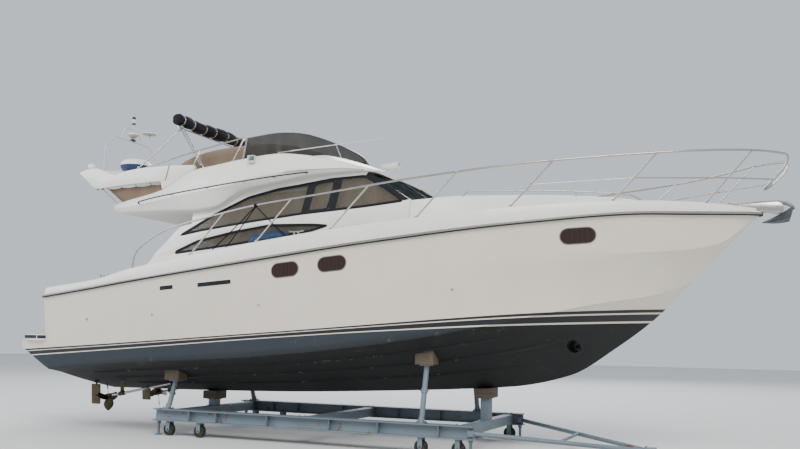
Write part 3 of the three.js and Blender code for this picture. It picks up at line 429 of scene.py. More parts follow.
def carve(bm, tools):
    """Cuts tools out of a shape."""
    obj, *helpers = [in_scene("scratch", mesh_of(shape, "scratch")) for shape in (bm, *tools)]
    for helper in helpers:
        modifier = obj.modifiers.new("carve", "BOOLEAN")
        modifier.operation = "DIFFERENCE"
        modifier.solver = "EXACT"
        modifier.object = helper
    bpy.context.view_layer.update()
    evaluated = obj.evaluated_get(bpy.context.evaluated_depsgraph_get())
    made = taken_from(bpy.data.meshes.new_from_object(evaluated))
    for used in [obj, *helpers]:
        old = used.data
        bpy.data.objects.remove(used)
        bpy.data.meshes.remove(old)
    return made


def piece(name, parts, body=BOAT, replaces=None, smooth=35):
    """One object made of (shape or list of shapes, material) pairs, riding on a body."""
    if not isinstance(parts, list):
        parts = [parts]
    materials, whole = [], []
    for shapes, material in parts:
        if material not in materials:
            materials.append(material)
        shapes = shapes if isinstance(shapes, list) else [shapes]
        for face in (face for bm in shapes for face in bm.faces):
            face.material_index = materials.index(material)
        whole += shapes
    mesh = mesh_of(gather(*whole), name)
    mesh.shade_smooth()
    mesh.set_sharp_from_angle(angle=math.radians(smooth))
    obj = in_scene(name, mesh)
    for material in materials:
        mesh.materials.append(material)
    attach(obj, body)
    if replaces:
        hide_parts(replaces)
    return obj


# Tables, and smooth lines through their columns
def table(columns, rows):
    return [Sizes(**dict(zip(columns.split(), row))) for row in rows]


def line_through(rows, column):
    """The column of a table as a function of x, along a curve that never overshoots its points."""
    xs = [row.x for row in rows]
    ys = [getattr(row, column) for row in rows]
    steps = [b - a for a, b in zip(xs, xs[1:])]
    slopes = [(b - a) / step for a, b, step in zip(ys, ys[1:], steps)]
    tangents = [slopes[0]]
    for before, after in zip(slopes, slopes[1:]):
        same = before * after > 0
        tangents.append(2 * before * after / (before + after) if same else 0.0)
    tangents.append(slopes[-1])

    def value(x):
        x = min(max(x, xs[0]), xs[-1])
        i = max(k for k in range(len(steps)) if xs[k] <= x)
        t = (x - xs[i]) / steps[i]
        start = ys[i] * (1 + 2 * t) * (1 - t) ** 2 + tangents[i] * steps[i] * t * (1 - t) ** 2
        return start + ys[i + 1] * t * t * (3 - 2 * t) + tangents[i + 1] * steps[i] * t * t * (t - 1)

    return value


def lines_through(rows):
    """All columns of a table as such functions."""
    return Sizes(**{column: line_through(rows, column) for column in vars(rows[0]) if column != "x"})


def values(lines, x):
    """What each of those functions gives at x."""
    return Sizes(**{name: value(x) for name, value in vars(lines).items()})


# Finishes
def moulded(name, light, dull, roughness=0.28):
    """Gelcoat: faint mottling, grime that rain has drawn downwards, and a slight orange peel."""
    f = Finish(name, light, roughness)
    f.set("Coat Weight", 0.2)
    mottle = f.noise(1.7, 3)
    runs = f.noise(9, 4, vector=f.stretched(1, 1, 0.07))
    grime = (runs - 0.5).clear() * 4 * mottle
    return f.look(f.blend((grime * 0.4).clear(), f.blend(mottle * 0.4, light, dull), dull),
                  mottle * 0.12 + grime * 0.15 + (roughness - 0.03),
                  f.relief(f.noise(140, 1), 0.0004, 0.12))


def bottom_paint(name):
    """The hull's topsides, pinstripe and boot-top, and the worn antifouling below them. The topsides' colour
    holds painted shade and a painted warm glow thrown up from the ground, and under the chine the antifouling
    is painted near black as shade on the bottom.
    """
    # The topsides' white gelcoat is painted warmer and darker here: painted shade on the hull's side with a
    # painted warm glow of light thrown up from the ground.
    shaded_cream, shade = (221, 212, 199), (202, 191, 175)
    ink, slate, pitch = (13, 15, 20), (38, 47, 54), (17, 18, 19)
    f = Finish(name, shaded_cream, 0.25)
    band = f.attribute("band")
    mottle = f.noise(1.3, 3)
    runs = f.noise(7, 4, vector=f.stretched(1, 1, 0.05))
    grime = (runs - 0.5).clear() * 3 * mottle
    side = f.blend((grime * 0.45).clear(), f.blend(mottle * 0.5, shaded_cream, shade), shade)
    lines = (band.between(0.0, 0.235, 0.012) + band.between(0.35, 0.86, 0.012)).clear()
    striped = f.blend(lines, side, ink)
    patches = f.noise(4.5, 6, 0.62)
    speckle = f.noise(38, 3, 0.7)
    worn = patches * 0.6 + speckle * 0.4
    # Under the chine the slate antifouling turns to pitch, near black: painted shade on the hull's bottom.
    paint_and_bottom_shade = f.blend(f.attribute("under"), slate, pitch)
    chalk = f.blend(worn.rise(0.56, 0.72) * 0.22, paint_and_bottom_shade, (92, 98, 100))
    chips = f.attribute("chine").rise(0.0, 1.0) * worn.rise(0.585, 0.61)
    specks = f.noise(16, 5, 0.75).rise(0.685, 0.70)
    scraped = f.blend((chips * 0.7 + specks * 0.45).clear(), chalk, (132, 134, 130))
    below = band.above(1.0, 0.012)
    f.set("Base Color", f.blend(below, striped, scraped))
    f.set("Roughness", below * 0.5 + lines * 0.2 + mottle * 0.12 + 0.2)
    f.set("Coat Weight", (1 - (below + lines).clear()) * 0.3)
    height = below * (worn * 1.5) + f.noise(120, 1) * 0.12
    f.set("Normal", f.relief(height, 0.0012, 0.35))
    return f.material


def non_slip(name, light, dull):
    """Moulded deck pattern of small raised diamonds, darker between them, with patches of dirt."""
    f = Finish(name, light, 0.6)
    x, y = f.part(0), f.part(1)
    along = ((x + y) * 42).share() - 0.5
    across = ((x - y) * 42).share() - 0.5
    raised = (0.5 - along.size()).sum("MINIMUM", 0.5 - across.size()).rise(0.05, 0.2)
    dirt = f.noise(3.0, 4)
    return f.look(f.blend((raised * 0.5 + dirt * 0.5).clear(), dull, light),
                  dirt * 0.2 + 0.5,
                  f.relief(raised, 0.0012, 0.6))


def metal(name, colour, stain, roughness=0.16, staining=0.3):
    """Polished or cast metal with faint scratches and brown tea-staining."""
    f = Finish(name, colour, roughness)
    f.set("Metallic", 1.0)
    patches = f.noise(11, 4)
    scratches = f.noise(210, 2, vector=f.stretched(1, 0.15, 1))
    brown = patches.rise(0.56, 0.75) * staining
    return f.look(f.blend(brown, colour, stain),
                  scratches * 0.12 + brown * 0.4 + roughness,
                  f.relief(scratches, 0.0003, 0.15))


def glass(name, tint, roughness=0.04, alpha=1.0, haze=0.2, shine=0.5):
    """Tinted glazing with dust on it."""
    f = Finish(name, tint, roughness)
    f.set("IOR", 1.5)
    f.set("Specular IOR Level", shine)
    dust = f.noise(6, 5, vector=f.stretched(1, 1, 0.25))
    f.set("Base Color", f.blend(dust.rise(0.4, 0.9) * haze, tint, (150, 146, 138)))
    f.set("Roughness", dust * 0.1 + roughness)
    if alpha < 1:
        f.set("Alpha", dust * 0.12 + alpha)
    return f.material


def rubber(name, colour, dusty, roughness=0.7, shine=0.5):
    """Moulded rubber or plastic, greyed by weather and scuffed."""
    f = Finish(name, colour, roughness)
    f.set("Specular IOR Level", shine)
    scuffs = f.noise(23, 5, 0.65)
    return f.look(f.blend(scuffs.rise(0.45, 0.75) * 0.5, colour, dusty),
                  scuffs * 0.25 + (roughness - 0.1),
                  f.relief(f.noise(300, 2), 0.0004, 0.3))


def woven(name, light, dark, threads=900.0, stains=0.5, sheen=0.15, shine=0.5):
    """Canvas: crossed threads, faded patches and water marks."""
    f = Finish(name, light, 0.85)
    f.set("Specular IOR Level", shine)
    f.set("Sheen Weight", sheen)
    x, y, z = f.part(0), f.part(1), f.part(2)
    warp = ((x + z) * threads).sum("SINE")
    weft = ((y + z) * threads).sum("SINE")
    weave = warp * weft * 0.5 + 0.5
    faded = f.noise(2.2, 4)
    marks = f.noise(8, 5, 0.6)
    share = (faded.rise(0.35, 0.7) * stains + marks * 0.25 + weave * 0.12).clear()
    return f.look(f.blend(share, dark, light),
                  marks * 0.15 + 0.75,
                  f.relief(weave, 0.0006, 0.35, f.relief(f.noise(5, 2), 0.02, 0.25)))


def rusting(name, paint_colour, faded, rust=0.5, roughness=0.5):
    """Old paint on steel: chalky, chipped, with rust at the chips and running down."""
    f = Finish(name, paint_colour, roughness)
    patches = f.noise(5, 6, 0.65)
    fine = f.noise(42, 4, 0.7)
    runs = f.noise(13, 4, vector=f.stretched(1, 1, 0.1))
    chips = (patches * 0.55 + fine * 0.3 + runs * 0.15).rise(0.6 - 0.1 * rust, 0.64 - 0.1 * rust)
    brown = f.blend(fine, (74, 44, 28), (132, 78, 44))
    base = f.blend(f.noise(2.1, 3), paint_colour, faded)
    f.set("Base Color", f.blend(chips, base, brown))
    f.set("Roughness", chips * 0.35 + fine * 0.15 + (roughness - 0.05))
    f.set("Metallic", (1 - chips) * 0.15)
    f.set("Normal", f.relief(fine * 0.3 - chips, 0.0015, 0.4))
    return f.material


def grained(name, light, dark, along=(0.6, 9, 9)):
    """Sawn timber: grain along its length, knots and dark weathering."""
    f = Finish(name, light, 0.75)
    grain = f.noise(9, 6, 0.6, vector=f.stretched(*along))
    rings = ((grain * 7).share() - 0.5).size() * 2
    dirt = f.noise(6, 4)
    return f.look(f.blend((rings * 0.5 + dirt * 0.5).clear(), dark, light),
                  dirt * 0.2 + 0.65,
                  f.relief(rings + grain, 0.002, 0.45))


def planked(name, light, dark, seam, width):
    """Narrow planks laid fore and aft with black caulking."""
    f = Finish(name, light, 0.6)
    grain = f.noise(14, 6, 0.6, vector=f.stretched(0.5, 8, 1))
    across = (f.part(1) / width).share()
    caulk = (across - 0.5).size().above(0.455, 0.012)
    wood = f.blend(grain, dark, light)
    return f.look(f.blend(caulk, wood, seam),
                  grain * 0.2 + 0.5,
                  f.relief(grain * 0.4 - caulk, 0.0012, 0.5))


def lamp(name, colour):
    """A moulded lens with ribs inside it."""
    f = Finish(name, colour, 0.15)
    f.set("Coat Weight", 0.5)
    ribs = (f.part(2) * 260).sum("SINE")
    return f.look(f.blend(ribs * 0.05 + 0.06, colour, (250, 250, 245)),
                  f.noise(30, 2) * 0.15 + 0.15,
                  f.relief(ribs, 0.0006, 0.3))


def slatted(name, light, dark, pitch, roughness=0.6, depth=0.7, shine=0.5):
    """Closed blinds, behind glass where they are glossy. The slats are darker towards their folds: painted
    shade between them.
    """
    f = Finish(name, light, roughness)
    f.set("Specular IOR Level", shine)
    slat = (f.part(0) / pitch).share()
    fold = (slat - 0.5).size() * 2
    # depth sets how much painted shade falls towards each fold.
    return f.look(f.blend(fold.rise(0.5, 1.0) * depth + f.noise(4, 2) * 0.2, light, dark),
                  f.noise(20, 2) * 0.2 + (roughness - 0.1),
                  f.relief(fold, 0.008, roughness))


WHITE, SHADE = (233, 231, 226), (206, 202, 193)
GELCOAT = moulded("gelcoat_white", WHITE, SHADE)
HULL_PAINT = bottom_paint("hull_paint")
NON_SLIP = non_slip("deck_non_slip", (222, 219, 212), (178, 174, 165))
TEAK = planked("teak_planks", (168, 132, 94), (112, 84, 58), (28, 26, 24), 0.05)
STEEL = metal("polished_steel", (178, 174, 168), (108, 88, 68), roughness=0.2, staining=0.5)
ZINC = metal("galvanised_steel", (108, 113, 116), (78, 76, 72), roughness=0.48, staining=0.6)
BRONZE = metal("bronze", (88, 80, 64), (46, 50, 45), roughness=0.45, staining=0.9)
ALLOY = metal("anodised_frame", (60, 61, 64), (40, 38, 36), roughness=0.4, staining=0.2)
RIM = metal("port_rim", (132, 124, 114), (84, 70, 58), roughness=0.34, staining=0.6)
DARK_GLASS = glass("hatch_glass", (34, 34, 32), roughness=0.12, alpha=0.7, haze=0.12, shine=0.2)
TINTED = glass("side_window_glass", (76, 69, 60), alpha=0.44, haze=0.25)
CLEAR_GLASS = glass("windscreen_glass", (40, 46, 50), alpha=0.66, haze=0.2, shine=0.0)
SMOKED = glass("smoked_acrylic", (62, 60, 57), roughness=0.16, alpha=0.70, haze=0.18, shine=0.0)
BROWN_LENS = slatted("port_glass", (46, 31, 26), (27, 18, 16), 0.07, roughness=0.14, depth=0.5, shine=0.25)
FRIT = rubber("black_gasket", (18, 19, 22), (44, 45, 47), roughness=0.5, shine=0.2)
FENDERING = rubber("rub_rail_rubber", (34, 35, 38), (80, 78, 75), shine=0.3)
BLACK_PLASTIC = rubber("black_plastic", (26, 27, 28), (66, 66, 64), roughness=0.5)
TYRE = rubber("tyre_rubber", (30, 30, 30), (92, 88, 80), roughness=0.85)
BLUE_VINYL = rubber("blue_fender_vinyl", (24, 46, 78), (66, 82, 104), roughness=0.5, shine=0.35)
ROPE = woven("black_rope", (24, 24, 27), (8, 8, 10), threads=520, stains=0.3, sheen=0, shine=0.2)
DARK_ROPE = woven("brown_lacing", (74, 54, 46), (38, 28, 26), threads=700, stains=0.3)
BROWN_CANVAS = woven("brown_canvas", (138, 116, 94), (98, 80, 63), stains=0.35)
BLACK_CANVAS = woven("black_canvas", (25, 27, 37), (8, 9, 13), stains=0.4, sheen=0.06, shine=0.25)
WEBBING = woven("beige_webbing", (196, 184, 160), (146, 132, 108), threads=1400)
UPHOLSTERY = woven("cream_vinyl", (216, 206, 188), (182, 170, 150), threads=2600, stains=0.3)
HEADLINER = woven("saloon_cloth", (196, 188, 174), (150, 141, 127), threads=1200)
BLINDS = slatted("beige_blinds", (205, 192, 170), (150, 136, 117), 0.05, depth=0.35)
VARNISH = grained("varnished_panel", (128, 84, 52), (78, 48, 30), along=(1, 6, 0.6))
CRADLE_PAINT = rusting("cradle_paint", (94, 108, 119), (118, 129, 136), rust=0.35)
RUSTY = rusting("rusty_steel", (70, 74, 76), (92, 92, 88), rust=0.9)
ENGINE_PAINT = rusting("engine_enamel", (142, 148, 150), (120, 126, 128), rust=0.1, roughness=0.35)
TIMBER = grained("sawn_timber", (122, 108, 90), (62, 54, 45))
TIMBER_ACROSS = grained("timber_across", (112, 98, 82), (56, 48, 40), along=(9, 0.6, 9))
WHITE_PAINT = moulded("white_enamel", (222, 223, 220), (168, 166, 160), roughness=0.38)
# The mast's white enamel, painted greyer than the white enamel elsewhere: painted shade on the tubes.
MAST_PAINT_IN_SHADE = moulded("mast_enamel_in_shade", (204, 205, 202), (150, 148, 142), roughness=0.4)
# A grey-brown copy of the radar's white for the undersides of the mast's dish and disc: painted shade.
UNDERSIDE_SHADE_PLASTIC = moulded("underside_shade_plastic", (172, 166, 154), (140, 132, 118), roughness=0.45)
RADAR_WHITE = moulded("radar_white", (232, 236, 238), (204, 208, 208), roughness=0.38)
RADAR_BLUE = moulded("radar_blue", (12, 46, 88), (36, 66, 102), roughness=0.45)
GREEN_LENS = lamp("green_lens", (16, 70, 62))
RED_LENS = lamp("red_lens", (110, 22, 22))
CLEAR_LENS = lamp("clear_lens", (196, 202, 200))


# Hull lines: half breadths and heights at each section, as in the part
HULL = table("x keel chineY chine knuckleY knuckle sheerY sheer rail", [
    (-0.64, 0.690, 1.560, 1.020, 1.690, 1.650, 1.745, 2.345, 2.480),
    (0.00, 0.680, 1.600, 1.060, 1.750, 1.720, 1.850, 2.410, 2.560),
    (1.20, 0.692, 1.665, 1.165, 1.835, 1.890, 1.925, 2.550, 2.690),
    (2.00, 0.700, 1.705, 1.235, 1.890, 2.015, 1.975, 2.650, 2.860),
    (4.00, 0.740, 1.775, 1.345, 1.965, 2.285, 2.045, 2.880, 3.155),
    (6.00, 0.825, 1.765, 1.530, 1.945, 2.525, 2.035, 3.115, 3.400),
    (7.40, 0.905, 1.620, 1.730, 1.830, 2.700, 1.930, 3.272, 3.535),
    (8.40, 0.985, 1.420, 1.930, 1.650, 2.825, 1.770, 3.385, 3.640),
    (9.30, 1.190, 1.120, 2.135, 1.380, 2.915, 1.520, 3.480, 3.715),
    (10.00, 1.620, 0.790, 2.290, 1.110, 2.975, 1.260, 3.555, 3.760),
    (10.60, 2.075, 0.440, 2.400, 0.830, 3.025, 0.980, 3.600, 3.778),
    (11.10, 2.575, 0.090, 2.610, 0.540, 3.075, 0.720, 3.612, 3.782),
    (11.60, 3.080, 0.045, 3.100, 0.270, 3.190, 0.430, 3.628, 3.765),
    (12.00, 3.480, 0.018, 3.490, 0.090, 3.520, 0.180, 3.642, 3.728),
    (12.15, 3.625, 0.008, 3.630, 0.014, 3.636, 0.022, 3.650, 3.715),
])
LINE = lines_through(HULL)
BOW = HULL[-1].x
DECK_BELOW_RAIL = 0.070
COCKPIT = Sizes(x0=0.30, x1=3.09, y=1.45, sole=2.00)
SALOON = Sizes(x0=3.09, x1=6.95, y=1.40, sole=2.15)
ENGINE_ROOM = Sizes(x0=0.90, x1=2.45, y=1.15, floor=1.18, roof=1.94)
LID = Sizes(x0=1.23, x1=2.08, y=0.43, wider=0.04, depth=0.036)
GATE = Sizes(y0=-1.32, y1=-0.72, top=2.56)
LEDGE = 1.585
TUNNEL = Sizes(x=9.44, z=1.64, r=0.096, pod=0.06)
SHAFT = Sizes(x0=0.64, z0=0.56, x1=2.25, z1=0.88, y=0.72, r=0.022)
RUDDER = Sizes(x=0.33, top=0.8054)
SLOPE = (SHAFT.z1 - SHAFT.z0) / (SHAFT.x1 - SHAFT.x0)
ABOVE = 5.0

BOOT_TOP = table("x top bottom", [
    (-0.64, 1.42, 1.29), (1.74, 1.57, 1.46), (5.83, 1.86, 1.76), (8.76, 2.10, 1.935), (9.62, 2.16, 1.975),
    (10.84, 2.23, 2.03),
])
BOOT = lines_through(BOOT_TOP)


def deck_z(x):
    return LINE.rail(x) - DECK_BELOW_RAIL


def shaft_z(x):
    return SHAFT.z0 + SLOPE * (x - SHAFT.x0)


def stations(start, end, step, *extra):
    """Evenly spaced values between two ends, with some more put in."""
    count = max(2, round((end - start) / step))
    even = [start + (end - start) * i / count for i in range(count + 1)]
    clear = [x for x in even if all(abs(x - y) > 0.3 * step for y in extra)]
    return sorted({*clear, start, end, *extra})


def rounded(points, radius, steps, ends=True):
    """A line of (a, b) points with its corners rounded off; ends is False for a closed outline."""
    out = []
    count = len(points)
    for i, point in enumerate(points):
        here = Vector(point)
        if ends and i in (0, count - 1):
            out.append(here)
            continue
        back, on = Vector(points[i - 1]) - here, Vector(points[(i + 1) % count]) - here
        reach = min(radius, 0.45 * back.length, 0.45 * on.length)
        start, end = here + back.normalized() * reach, here + on.normalized() * reach
        for k in range(steps + 1):
            t = k / steps
            out.append(start * (1 - t) ** 2 + here * 2 * t * (1 - t) + end * t * t)
    return out


def rounded_outline(points, radius=0.05, steps=4):
    return [tuple(p) for p in rounded(points, radius, steps, ends=False)]


def across_boat(x, half):
    """A ring across the boat from its port half, which starts and ends on the middle line."""
    port = [at(x, y, z) for y, z in half]
    starboard = [at(x, -y, z) for y, z in half if abs(y) > 1e-6]
    return [*port, *reversed(starboard)]


def loft(rings):
    """A closed skin through rings of equal length."""
    sides, count = len(rings[0]), len(rings) - 1

    def place(u, v):
        return rings[round(u * count)][round(v * sides) % sides]

    return welded(field(count, sides, place), 1e-6, fill=True)


def headings(line):
    """The way a line runs at each of its points."""
    return [after - before for before, after in zip([line[0], *line], [*line[1:], line[-1]])]


def beside(heading):
    """The level direction to the right of a heading."""
    return Vector((heading.y, -heading.x, 0)).normalized()


def sweep(path, section):
    """Carries a section of (outward, upward) points along a path, square to it in plan."""
    return loft([[point + beside(ahead) * a + up(b) for a, b in section]
                 for point, ahead in zip(path, headings(path))])


def tagged(obj, **rules):
    """Writes a number on each point of a piece, for its material to read."""
    for name, rule in rules.items():
        layer = obj.data.attributes.new(name, "FLOAT", "POINT")
        layer.data.foreach_set("value", [rule(v.co.x - STERN, v.co.y, v.co.z) for v in obj.data.vertices])


# Hull
def hull_section(x):
    """The port half of a section, from the keel to the sheer and back to the middle."""
    line = values(LINE, x)
    wide = min(1, line.chineY)
    flare = 0.03 * min(1, max(0, (x - 6.5) / 3)) * min(1, line.knuckleY / 0.6)
    half = []
    for i in range(9):
        t = i / 8
        drop = 0.08 * wide * t * (1 - t)
        half.append((line.chineY * t, line.keel + (line.chine - line.keel) * t - drop))
    half.append((line.chineY * 1.025, line.chine + 0.004))
    for i in range(1, 9):
        t = i / 8
        y = line.chineY * 1.025 * (1 - t) + line.knuckleY * t - flare * 4 * t * (1 - t)
        half.append((y, line.chine * (1 - t) + line.knuckle * t))
    for i in range(1, 6):
        t = i / 5
        y = line.knuckleY * (1 - t) + line.sheerY * t
        half.append((y, line.knuckle * (1 - t) + line.sheer * t))
    half.append((0, line.sheer))
    return half


def wells():
    reach = 0.01
    return [
        box((COCKPIT.x0, -COCKPIT.y, COCKPIT.sole), (COCKPIT.x1, COCKPIT.y, ABOVE)),
        box((SALOON.x0, -SALOON.y, SALOON.sole), (SALOON.x1, SALOON.y, ABOVE)),
        box((-reach, GATE.y0, COCKPIT.sole), (COCKPIT.x0 + reach, GATE.y1, ABOVE)),
    ]


def side_profile(points, y0, y1):
    """An outline of (x, z) points run across the boat from y0 to y1."""
    return slab([at(x, y0, z) for x, z in points], (0, y1 - y0, 0))


def hull():
    xs = stations(HULL[0].x, BOW, 0.13, *[row.x for row in HULL])
    skin = loft([across_boat(x, hull_section(x)) for x in xs])
    stern = [(-1.0, 0.0), (0.12, 0.0), (0.12, 1.02), (-0.10, 1.14), (-0.62, 1.45), (-1.0, 1.45)]
    room, lid = ENGINE_ROOM, LID
    inner = lid.y - lid.wider
    tools = [
        *wells(),
        box((-1, -3, LEDGE), (0, 3, ABOVE)),
        side_profile(stern, -3, 3),
        box((room.x0, -room.y, room.floor), (room.x1, room.y, room.roof)),
        box((lid.x0, -lid.y, COCKPIT.sole - lid.depth), (lid.x1, lid.y, ABOVE)),
        box((lid.x0 + lid.wider, -inner, room.roof - 0.01),
            (lid.x1 - lid.wider, inner, ABOVE)),
        rod(at(TUNNEL.x, -2, TUNNEL.z), at(TUNNEL.x, 2, TUNNEL.z), TUNNEL.r, segments=32),
    ]
    shell = carve(skin, tools)
    obj = piece("hull_shell", (shell, HULL_PAINT), replaces="hull", smooth=16)
    tagged(
        obj,
        band=lambda x, y, z: (BOOT.top(x) - z) / (BOOT.top(x) - BOOT.bottom(x)),
        # under is 1 below the chine, where the finish paints the shade of the bottom.
        under=lambda x, y, z: min(1, max(0, (LINE.chine(x) + 0.02 - z) / 0.02)),
        chine=lambda x, y, z: max(0, 1 - abs(z - LINE.chine(x)) / 0.05) * (0.4 if x < 8 else 1),
    )


def spray_rails():
    """Three lifting strakes a side, tapered at both ends."""
    parts = []
    for share, start, end in ((0.34, 1.2, 9.0), (0.58, 1.0, 9.9), (0.80, 0.8, 9.25)):
        rings = []
        for x in stations(start, end, 0.3):
            line = values(LINE, x)
            size = 0.032 * min(1, (end - x) / 1.2, (x - start) / 0.5 + 0.3) + 0.001
            rise = line.chine - line.keel
            lean = math.atan2(rise, line.chineY)
            y = line.chineY * share
            z = line.keel + rise * share - 0.08 * min(1, line.chineY) * share * (1 - share)
            inner = at(x, y - size * math.cos(lean), z - size * math.sin(lean) + 0.002)
            outer = at(x, y + size * math.cos(lean), z + size * math.sin(lean) + 0.002)
            rings.append([inner, outer, outer - Vector((0, 0.004, 1.1 * size))])
        port = loft(rings)
        parts += [flipped(port.copy()), port]
    obj = piece("spray_rails", (parts, HULL_PAINT), smooth=25)
    # The strakes sit under the chine and take its painted shade (under = 1).
    tagged(obj, band=lambda x, y, z: 2, under=lambda x, y, z: 1, chine=lambda x, y, z: 0.5)


# Deck moulding, rub rail, platform and gate
TRUNK = table("x base top z", [
    (7.105, 1.50, 1.44, 3.885),
    (7.90, 1.34, 1.18, 3.955),
    (8.90, 1.15, 0.93, 3.950),
    (9.90, 0.83, 0.64, 3.915),
    (10.50, 0.54, 0.38, 3.860),
    (10.90, 0.30, 0.17, 3.800),
    (11.00, 0.20, 0.08, 3.740),
])
ROOF = lines_through(TRUNK)
CROWN = 0.03
FORE_HATCH = Sizes(x=9.05, half=0.28, z=ROOF.z(9.05) + CROWN + 0.015)
RUB_SECTION = [(0.0006, -0.045), (0.030, -0.045), (0.045, -0.030), (0.045, 0.008), (0.030, 0.022),
               (0.0006, 0.022)]


def deck_section(x):
    line = values(LINE, x)
    k = min(1, line.sheerY / 0.2)
    y, rail = line.sheerY, line.rail
    floor = rail - DECK_BELOW_RAIL * k
    corners = [
        (0, line.sheer + GAP), (y - 0.008 * k, line.sheer + GAP), (y - 0.030 * k, rail - 0.025 * k),
        (y - 0.055 * k, rail), (y - 0.110 * k, rail), (y - 0.165 * k, floor), (0, floor),
    ]
    return rounded(corners, 0.018 * k + 0.0002, 2)


def trunk_section(x):
    base, top, z = ROOF.base(x), ROOF.top(x), ROOF.z(x)
    crown = [(top * (1 - i / 5), z + CROWN * (1 - (1 - i / 5) ** 2)) for i in range(6)]
    low = deck_z(x) - 0.02
    return [(0, low), *rounded([(base, low), *crown], 0.06, 4)]


def tread(xs, sign, inner):
    """A strip of raised pattern on the side deck, from its inner edge out to the bulwark."""
    rings = []
    for x in xs:
        z, low = deck_z(x) + 0.001, inner(x)
        out = max(low + 0.02, LINE.sheerY(x) - 0.19)
        rings.append([at(x, sign * y, z + h) for y, h in ((low, 0), (out, 0), (out, 0.004), (low, 0.004))])
    return loft(rings)


def roof_tread():
    """The patch of raised pattern on the coach roof."""
    rings = []
    for x in stations(7.5, 10.3, 0.1):
        wide = ROOF.top(x) - 0.09
        line = [(wide * k / 4, ROOF.z(x) + CROWN * (1 - (wide * k / 4 / ROOF.top(x)) ** 2))
                for k in range(-4, 5)]
        rings.append([at(x, y, z + 0.004) for y, z in line] + [at(x, y, z - 0.004)
                                                               for y, z in reversed(line)])
    return loft(rings)


def deck():
    xs = stations(0, BOW, 0.16, *[row.x for row in HULL[1:-1]])
    bulwark = carve(loft([across_boat(x, deck_section(x)) for x in xs]), wells())
    trunk = loft([across_boat(x, trunk_section(x)) for x in stations(7.105, 11.0, 0.1)])
    dash = box((6.93, -1.385, 3.3), (7.2, 1.385, TRUNK[0].z), 0.012)
    half, x, z = FORE_HATCH.half, FORE_HATCH.x, FORE_HATCH.z
    frame_bm = box((x - half, -half, 3.7), (x + half, half, z), 0.012, 3)
    piece("deck_moulding",
          [(bulwark, GELCOAT), (trunk, GELCOAT), (dash, FRIT), (frame_bm, GELCOAT)],
          replaces="deck", smooth=30)
    strips = (
        (stations(2.5, 6.9, 0.2), lambda x: 1.66),
        (stations(7.25, 9.8, 0.2), lambda x: ROOF.base(x) + 0.05),
        (stations(9.9, 11.55, 0.15), lambda x: (ROOF.base(x) if x < 11 else 0.0) + 0.02),
    )
    treads = [tread(xs, sign, inner) for xs, inner in strips for sign in BOTH]
    piece("deck_treads", ([*treads, roof_tread()], NON_SLIP), smooth=25)
    teak = [(0.86, 1.23, -1.44, 1.44), (2.09, 3.01, -1.44, 1.44), (1.23, 2.09, -1.44, -0.44),
            (1.23, 2.09, 0.44, 1.44)]
    teak = [box((x0, y0, 2.0006), (x1, y1, 2.005)) for x0, x1, y0, y1 in teak]
    piece("cockpit_teak", (teak, TEAK))
    sole = SALOON.sole + 0.002
    piece("saloon_carpet",
          (box((3.10, -1.39, sole - 0.0015), (5.98, 0.79, sole + 0.004)), HEADLINER))


def rub_rail():
    port = [at(x, LINE.sheerY(x), LINE.sheer(x))
            for x in stations(0.0, BOW, 0.12, *[row.x for row in HULL[1:-1]])]
    path = [Vector((p.x, -p.y, p.z)) for p in port] + port[::-1]
    insert = [(0.0445, -0.028), (0.049, -0.024), (0.0505, -0.011), (0.049, 0.001), (0.0445, 0.005)]
    flange = [(0.0008, 0.0225), (0.030, 0.0225), (0.0455, 0.0085), (0.0455, 0.0055), (0.028, 0.019),
              (0.0008, 0.019)]
    sections = ((rounded(RUB_SECTION, 0.006, 2), FENDERING), (insert, STEEL), (flange, GELCOAT))
    piece("rub_rail_rubber",
          [(sweep(path, section), material) for section, material in sections],
          replaces="rub_rail", smooth=40)


PLATFORM = [(-GAP, -1.80), (-GAP, 1.80), (-0.30, 1.79), (-0.56, 1.70), (-0.70, 1.50), (-0.74, 1.20),
            (-0.74, -1.20), (-0.70, -1.50), (-0.56, -1.70), (-0.30, -1.79)]


def plan(points, z0, z1):
    """An outline of (x, y) points run from z0 up to z1."""
    return slab([at(x, y, z0) for x, y in points], (0, 0, z1 - z0))


def swim_platform():
    outline = rounded_outline(PLATFORM, 0.14)
    body = soften(plan(outline, LEDGE + GAP, 1.6995), 0.012, 3)
    edge = [at(x, y, 1.655) for x, y in outline if x < -0.002]
    trim = sweep(edge, [(-0.002, -0.028), (0.014, -0.028), (0.018, -0.014), (0.018, 0.014),
                        (0.014, 0.028), (-0.002, 0.028)])
    inner = [(x * 0.86 - 0.035, y * 0.94) for x, y in outline]
    deck_pad = plan(inner, 1.699, 1.7035)
    ladder = [box((-0.62, y, 1.701), (-0.16, y + 0.012, 1.7075), 0.003) for y in (0.95, 1.288)]
    hatch = box((-0.66, 0.94, 1.70), (-0.12, 1.31, 1.7055), 0.004)
    piece("platform_moulding",
          [(body, GELCOAT), (trim, FENDERING), (deck_pad, TEAK), (hatch, GELCOAT), (ladder, STEEL)],
          replaces="swim_platform")


